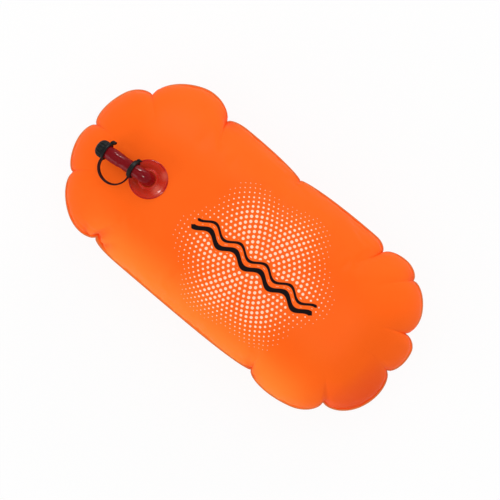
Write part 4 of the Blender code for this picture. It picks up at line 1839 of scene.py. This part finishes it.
@dataclass
class TowPoint:
    """The tow patch, the folded webbing and the D-ring under the valve end.

    below is how far under the floor the rays start that feel for the bag, and base_steps how many
    of them there are along the webbing and to either side of its middle. webbing_gaps is how many
    gaps of touch lie between bag and webbing. webbing_edge_share is how much of the thickness is
    left at the webbing's edge.
    """

    bag: bpy.types.Object
    below: float = 0.05
    touch: float = 0.0003
    patch_radius: float = 0.021
    patch_thickness: float = 0.0006
    patch_steps: int = 72
    patch_rings: int = 12
    patch_rim_share: float = 0.55
    patch_groove: float = 0.0002
    patch_weld: float = 0.9
    webbing_width: float = 0.020
    webbing_thickness: float = 0.0012
    webbing_tail: float = 0.030
    webbing_gaps: int = 4
    webbing_bevel: float = 0.0004
    webbing_edge_share: float = 0.55
    webbing_columns: int = 14
    base_steps: tuple[int, int] = (7, 6)
    fold_turn: float = math.radians(215)
    fold_steps: int = 28
    wire: float = 0.00175
    wire_sides: int = 7
    corner: float = 0.0025
    corner_steps: int = 8
    depth: float = 0.0165
    bow_steps: int = 40

    def __post_init__(self) -> None:
        """Reads the tow point's place from the frame."""
        low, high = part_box("tow_patch")
        self.middle = (low.x + high.x) / 2
        self.tree = BVHTree.FromObject(self.bag, bpy.context.evaluated_depsgraph_get())
        panel = frame["nodes"]["lower_panel"]
        self.solid = BVHTree.FromPolygons(
            [vert.co for vert in panel.data.vertices],
            [tuple(face.vertices) for face in panel.data.polygons],
        )
        joint = next(j for j in frame["joints"] if j["name"] == "tow_ring_swing")
        self.bar = Vector(joint["pos_m"])

    def under(self, x: float, y: float) -> tuple[Vector, Vector]:
        """The bag's lowest point over a place, and its normal there."""
        place, normal, _, _ = self.tree.ray_cast(Vector((x, y, -self.below)), Vector((0, 0, 1)))
        return place, normal if normal.z < 0 else -normal

    def patch(self) -> bpy.types.Object:
        """The welded patch that follows the bag."""
        steps, rings = self.patch_steps, self.patch_rings
        points = []
        skins = []
        welds = []
        for layer in (0, 1):
            for n in range(1, rings + 1):
                out = self.patch_radius * n / rings
                thickness = self.patch_thickness * (self.patch_rim_share if n == rings else 1.0)
                if n in (rings - 2, rings - 4):
                    thickness -= self.patch_groove
                lift = self.touch + (thickness if layer else 0.0)
                for step in range(steps):
                    angle = math.tau * step / steps
                    x, y = out * math.cos(angle), out * math.sin(angle)
                    place, normal = self.under(self.middle + x, y)
                    points.append(place + normal * lift)
                    skins.append((x, y))
                    welds.append(self.patch_weld if n == rings else 0.0)
        centre_numbers = []
        for layer in (0, 1):
            place, normal = self.under(self.middle, 0.0)
            centre_numbers.append(len(points))
            points.append(place + normal * (self.touch + (self.patch_thickness if layer else 0.0)))
            skins.append((0.0, 0.0))
            welds.append(0.0)
        per_layer = rings * steps
        faces = []
        for layer in (0, 1):
            base = layer * per_layer
            for step in range(steps):
                after = (step + 1) % steps
                faces.append((centre_numbers[layer], base + step, base + after))
                for n in range(rings - 1):
                    faces.append((
                        base + n * steps + step,
                        base + (n + 1) * steps + step,
                        base + (n + 1) * steps + after,
                        base + n * steps + after,
                    ))
        edge = (rings - 1) * steps
        for step in range(steps):
            after = (step + 1) % steps
            faces.append((edge + step, per_layer + edge + step, per_layer + edge + after, edge + after))
        piece = Workshop.sewn("tow_patch_disc", points, faces, np.array(skins))
        Workshop.marked(piece, WELD_SHARE, np.array(welds))
        Workshop.turn_out(piece)
        Workshop.settle(piece)
        Workshop.dress(piece, PATCH_SHEET.material(), "coated_sheet")
        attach(piece, Body.BAG.value)
        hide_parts("tow_patch")
        return piece

    def base_line(self) -> list[Vector]:
        """The lowest places of the solid under the webbing."""
        half = self.webbing_width / 2 + self.corner + self.wire
        steps, sides = self.base_steps
        line = []
        for n in range(steps + 1):
            x = self.middle - self.webbing_tail / 2 + self.webbing_tail * n / steps
            heights = [
                self.solid.ray_cast(Vector((x, half * m / sides, -self.below)), Vector((0, 0, 1)))[0].z
                for m in range(-sides, sides + 1)
            ]
            line.append(Vector((x, 0, min(heights))))
        return line

    @staticmethod
    def beside(path: Sequence[Vector], distance: float) -> list[Vector]:
        """A line in the XZ plane moved to the right of its own direction."""
        moved = []
        for n, point in enumerate(path):
            along = (path[min(n + 1, len(path) - 1)] - path[max(n - 1, 0)]).normalized()
            moved.append(point + Vector((along.z, 0, -along.x)) * distance)
        return moved

    def webbing_line(self) -> list[Vector]:
        """The webbing's middle line: below the patch, round the ring's bar and back."""
        thickness = self.webbing_thickness
        off_bag = self.webbing_gaps * self.touch + self.patch_thickness + thickness / 2
        first = self.beside(self.base_line(), off_bag)
        ahead = (first[-1] - first[-2]).normalized()
        away = Vector((ahead.z, 0, -ahead.x))
        loop = self.wire + self.touch + thickness / 2
        fold = []
        for n in range(self.fold_steps + 1):
            angle = self.fold_turn * n / self.fold_steps - QUARTER_TURN
            fold.append(self.bar + loop * (ahead * math.cos(angle) + away * math.sin(angle)))
        second = self.beside(first, thickness + self.touch)
        path = [*first, *fold, *second[-2::-1]]
        halves = [a.lerp(b, share) for a, b in zip(path, path[1:]) for share in (0.0, 0.5)]
        return [*halves, path[-1]]

    def webbing_section(self) -> list[tuple[float, float]]:
        """The webbing's section: how far across each point lies and its share of half the thickness."""
        half = self.webbing_width / 2
        flat = half - self.webbing_bevel
        edge = self.webbing_edge_share
        columns = self.webbing_columns
        across = [2 * flat * n / columns for n in range(1, columns)]
        upper = [(half, -edge), (half, edge), (flat, 1.0), *((flat - step, 1.0) for step in across)]
        lower = [(-flat, 1.0), (-half, edge), (-half, -edge), (-flat, -1.0)]
        return [*upper, *lower, *((-flat + step, -1.0) for step in across), (flat, -1.0)]

    def webbing(self) -> bpy.types.Object:
        """The webbing, folded round the ring's bar and sewn down."""
        dense = self.webbing_line()
        section = self.webbing_section()
        thick = self.webbing_thickness / 2
        levels = {level for _, level in section}
        outers = {level: self.beside(dense, thick * level) for level in levels}
        travel = np.concatenate([[0.0], np.cumsum([(b - a).length for a, b in zip(dense, dense[1:])])])
        points, skins = [], []
        for n in range(len(dense)):
            for y, level in section:
                spot = outers[level][n]
                points.append((spot.x, y, spot.z))
                skins.append((travel[n], y))
        size = len(section)
        faces = [
            (n * size + m, n * size + (m + 1) % size, (n + 1) * size + (m + 1) % size, (n + 1) * size + m)
            for n in range(len(dense) - 1)
            for m in range(size)
        ]
        faces.append(tuple(reversed(range(size))))
        faces.append(tuple((len(dense) - 1) * size + m for m in range(size)))
        piece = Workshop.sewn("tow_strap", points, faces, np.array(skins))
        Workshop.turn_out(piece)
        Workshop.settle(piece)
        Workshop.dress(piece, Webbing().material(), "webbing")
        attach(piece, Body.BAG.value)
        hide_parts("tow_webbing")
        return piece

    def d_ring(self) -> bpy.types.Object:
        """The D-ring, hanging from its bar."""
        half = self.webbing_width / 2 + self.touch + self.corner
        path = []
        for side in (1, -1):
            corner = []
            for n in range(self.corner_steps + 1):
                angle = QUARTER_TURN * n / self.corner_steps
                corner.append(Vector((
                    0,
                    side * (half - self.corner + self.corner * math.sin(angle)),
                    -self.corner + self.corner * math.cos(angle),
                )))
            path.extend(corner if side > 0 else corner[::-1])
            if side > 0:
                for n in range(1, self.bow_steps):
                    angle = math.pi * n / self.bow_steps
                    path.append(Vector((
                        0,
                        half * math.cos(angle),
                        -self.corner - (self.depth - self.corner) * math.sin(angle),
                    )))
        path = [self.bar + point for point in path]
        piece = Workshop.swept("d_ring", path, [self.wire] * len(path), self.wire_sides, closed=True)
        Workshop.settle(piece)
        Workshop.dress(piece, BLACK_PLASTIC.material(), "black_plastic")
        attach(piece, Body.TOW_RING.value)
        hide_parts("tow_d_ring")
        return piece

    def build(self) -> None:
        """Builds and dresses the tow point."""
        for make in (self.patch, self.webbing, self.d_ring):
            piece = make()
            LOG.info("%s: %d points", piece.name, len(piece.data.vertices))


# Finishes in use

PRINTED_SHEET = CoatedSheet(name="printed_sheet", printed=Halftone())
PATCH_SHEET = CoatedSheet(name="patch_sheet")
RED_FLANGE = ClearSoftPlastic(
    name="clear_red_disc",
    colour=(0.56, 0.012, 0.012, 1.0),
    rim=(0.90, 0.20, 0.12, 1.0),
    body=0.60,
    roughness=0.18,
)
# colours of the painted highlights and of the painted shadow on the flange
PAINTED_HIGHLIGHT_RED: Colour = (0.88, 0.27, 0.20, 1.0)
PAINTED_SHADOW_RED: Colour = (0.26, 0.002, 0.006, 1.0)
# Painted highlights (pale) and the tube's painted shadow (deep) on the flange, measured from the middle of
# its foot
FLANGE_PAINTED_PATCHES = (
    PaintedPatch(Vector((-0.0146, 0.0044, 0.002)), 0.009, PAINTED_HIGHLIGHT_RED, 0.5),
    PaintedPatch(Vector((-0.0134, -0.0133, 0.002)), 0.008, PAINTED_HIGHLIGHT_RED, 0.35),
    PaintedPatch(Vector((0.0115, 0.0128, 0.002)), 0.0095, PAINTED_SHADOW_RED, 0.8),
)
RED_TUBE = ClearSoftPlastic(
    name="clear_red_tube",
    colour=(0.190, 0.0008, 0.0040, 1.0),
    rim=(0.34, 0.006, 0.010, 1.0),
    body=0.94,
    roughness=0.13,
)
BLACK_RUBBER = Moulded(
    name="black_rubber",
    colour=(0.006, 0.007, 0.007, 1.0),
    worn=(0.012, 0.013, 0.012, 1.0),
    roughness=0.45,
    specular=0.09,
)
STRAP_RUBBER = Moulded(
    name="strap_rubber",
    colour=(0.022, 0.0010, 0.0012, 1.0),
    worn=(0.045, 0.003, 0.003, 1.0),
    roughness=0.40,
    specular=0.08,
)
WHITE_PLASTIC = Moulded(
    name="white_plastic",
    colour=(0.76, 0.76, 0.73, 1.0),
    worn=(0.70, 0.69, 0.64, 1.0),
    roughness=0.38,
)
SEAL_RUBBER = Moulded(
    name="seal_rubber",
    colour=(0.03, 0.03, 0.03, 1.0),
    worn=(0.045, 0.045, 0.045, 1.0),
    roughness=0.65,
)
SPRING_STEEL = Moulded(
    name="spring_steel",
    colour=(0.62, 0.62, 0.64, 1.0),
    worn=(0.50, 0.50, 0.52, 1.0),
    roughness=0.28,
    metallic=1.0,
)
BLACK_PLASTIC = Moulded(
    name="black_plastic",
    colour=(0.018, 0.018, 0.019, 1.0),
    worn=(0.030, 0.030, 0.031, 1.0),
    roughness=0.42,
)


# The studio


@dataclass(frozen=True)
class Lamp:
    """A rectangular soft light.

    place is where it stands, aim what it faces, size its width and height, and power its watts.
    Where sheen_only is true, it lights only the gloss of things.
    """

    name: str
    place: Vector
    aim: Vector
    size: tuple[float, float]
    power: float
    sheen_only: bool = False

    def hang(self) -> None:
        """Puts it in the scene."""
        data = bpy.data.lights.new(self.name, "AREA")
        data.shape = "RECTANGLE"
        data.size, data.size_y = self.size
        data.energy = self.power
        lamp = bpy.data.objects.new(self.name, data)
        bpy.context.scene.collection.objects.link(lamp)
        lamp.location = self.place
        lamp.visible_diffuse = not self.sheen_only
        lamp.rotation_mode = "QUATERNION"
        lamp.rotation_quaternion = (self.aim - self.place).to_track_quat("-Z", "Y")


SEAM_HEIGHT = 0.0825
BAG_MIDDLE = Vector((0, 0, SEAM_HEIGHT))
VALVE_PLACE = Vector((0.16, 0.01, 0.18))
STRIP_PLACE = VALVE_PLACE + Vector((0.325, -0.784, 0.524)) * 1.2
GLINT_PLACE = VALVE_PLACE + Vector((-0.50, 0.10, 0.86)) * 1.2
LAMPS = (
    Lamp("key", Vector((0.70, 1.6, 0.60)), BAG_MIDDLE, (1.2, 0.7), 8),
    Lamp("fill", Vector((0.35, -1.7, 0.70)), BAG_MIDDLE, (1.2, 0.7), 10.5),
    Lamp("overhead", Vector((0.2, 0.1, 2.6)), BAG_MIDDLE, (1.8, 1.8), 5),
    Lamp("strip", STRIP_PLACE, VALVE_PLACE, (0.30, 0.030), 13, sheen_only=True),
    Lamp("glint", GLINT_PLACE, VALVE_PLACE, (0.10, 0.05), 8, sheen_only=True),
)


@dataclass
class Studio:
    """The floor, the lights and the camera."""

    photo_side: int = 500
    bag_pixels: float = 395.6
    bag_turn: float = math.radians(140.284)
    aim_pixels: tuple[float, float] = (-6.71, -0.70)
    distance: float = 1.6
    sensor_mm: float = 36.0
    bag_length: float = 0.460
    world_light: float = 0.80
    floor_side: float = 12
    floor_depth: float = 0.0002
    floor_colour: Colour = (0.93, 0.93, 0.93, 1.0)
    floor_roughness: float = 0.5
    floor_glow: float = 0.90
    floor_grain: float = 0.004
    floor_grain_swing: float = 0.01

    def floor(self) -> None:
        """The pale floor, which keeps the object's shadow."""
        Workshop.deselect()
        bpy.ops.mesh.primitive_plane_add(size=self.floor_side, location=(0, 0, -self.floor_depth))
        plane = bpy.context.active_object
        plane.name = "floor"
        bpy.ops.object.transform_apply(location=True, rotation=True, scale=True)
        graph = Graph("pale_floor")
        rays = graph.node("ShaderNodeLightPath")
        seen = Channel(graph, rays.outputs["Is Camera Ray"])
        seen = seen.most(Channel(graph, rays.outputs["Is Transmission Ray"]))
        grain = graph.grain(graph.place(), self.floor_grain)
        paint = {"Color": self.floor_colour, "Roughness": self.floor_roughness}
        matt = graph.out("ShaderNodeBsdfDiffuse", inputs=paint)
        white = graph.out("ShaderNodeEmission", inputs={"Color": (1.0, 1.0, 1.0, 1.0), "Strength": 1.0})
        share = seen * (self.floor_glow + grain * self.floor_grain_swing)
        surface = graph.out("ShaderNodeMixShader", inputs={0: share, 1: matt, 2: white})
        plane.data.materials.append(graph.closed(surface))

    def world(self) -> None:
        """Even white light, seen as white."""
        world = bpy.data.worlds.new("studio")
        bpy.context.scene.world = world
        world.use_nodes = True
        tree = world.node_tree
        tree.nodes.clear()
        rays = tree.nodes.new("ShaderNodeLightPath")
        seen = tree.nodes.new("ShaderNodeMath")
        seen.operation = "MAXIMUM"
        tree.links.new(rays.outputs["Is Camera Ray"], seen.inputs[0])
        tree.links.new(rays.outputs["Is Transmission Ray"], seen.inputs[1])
        strength = tree.nodes.new("ShaderNodeMapRange")
        strength.inputs["To Min"].default_value = self.world_light
        strength.inputs["To Max"].default_value = 1.0
        tree.links.new(seen.outputs[0], strength.inputs["Value"])
        back = tree.nodes.new("ShaderNodeBackground")
        back.inputs["Color"].default_value = (1.0, 1.0, 1.0, 1.0)
        tree.links.new(strength.outputs[0], back.inputs["Strength"])
        output = tree.nodes.new("ShaderNodeOutputWorld")
        tree.links.new(back.outputs[0], output.inputs[0])

    def camera(self) -> None:
        """The photograph's view, straight down."""
        scale = self.bag_length / self.bag_pixels
        half_angle = math.atan(scale * self.photo_side / 2 / self.distance)
        data = bpy.data.cameras.new("camera")
        data.sensor_width = self.sensor_mm
        data.lens = self.sensor_mm / 2 / math.tan(half_angle)
        camera = bpy.data.objects.new("camera", data)
        bpy.context.scene.collection.objects.link(camera)
        camera.location = (
            self.aim_pixels[0] * scale,
            self.aim_pixels[1] * scale,
            SEAM_HEIGHT + self.distance,
        )
        camera.rotation_euler = (0, 0, -self.bag_turn)
        bpy.context.scene.camera = camera

    def build(self) -> None:
        """Sets the stage."""
        self.floor()
        self.world()
        for lamp in LAMPS:
            lamp.hang()
        self.camera()
        bpy.context.scene.view_settings.view_transform = "Standard"


def main() -> None:
    """Builds the dressed buoy and its stage."""
    logging.basicConfig(level=logging.INFO, format="%(name)s: %(message)s")
    Studio().build()
    bag = AirBag().build()
    OralValve(bag).build()
    TowPoint(bag).build()


if __name__ == "__main__":
    main()
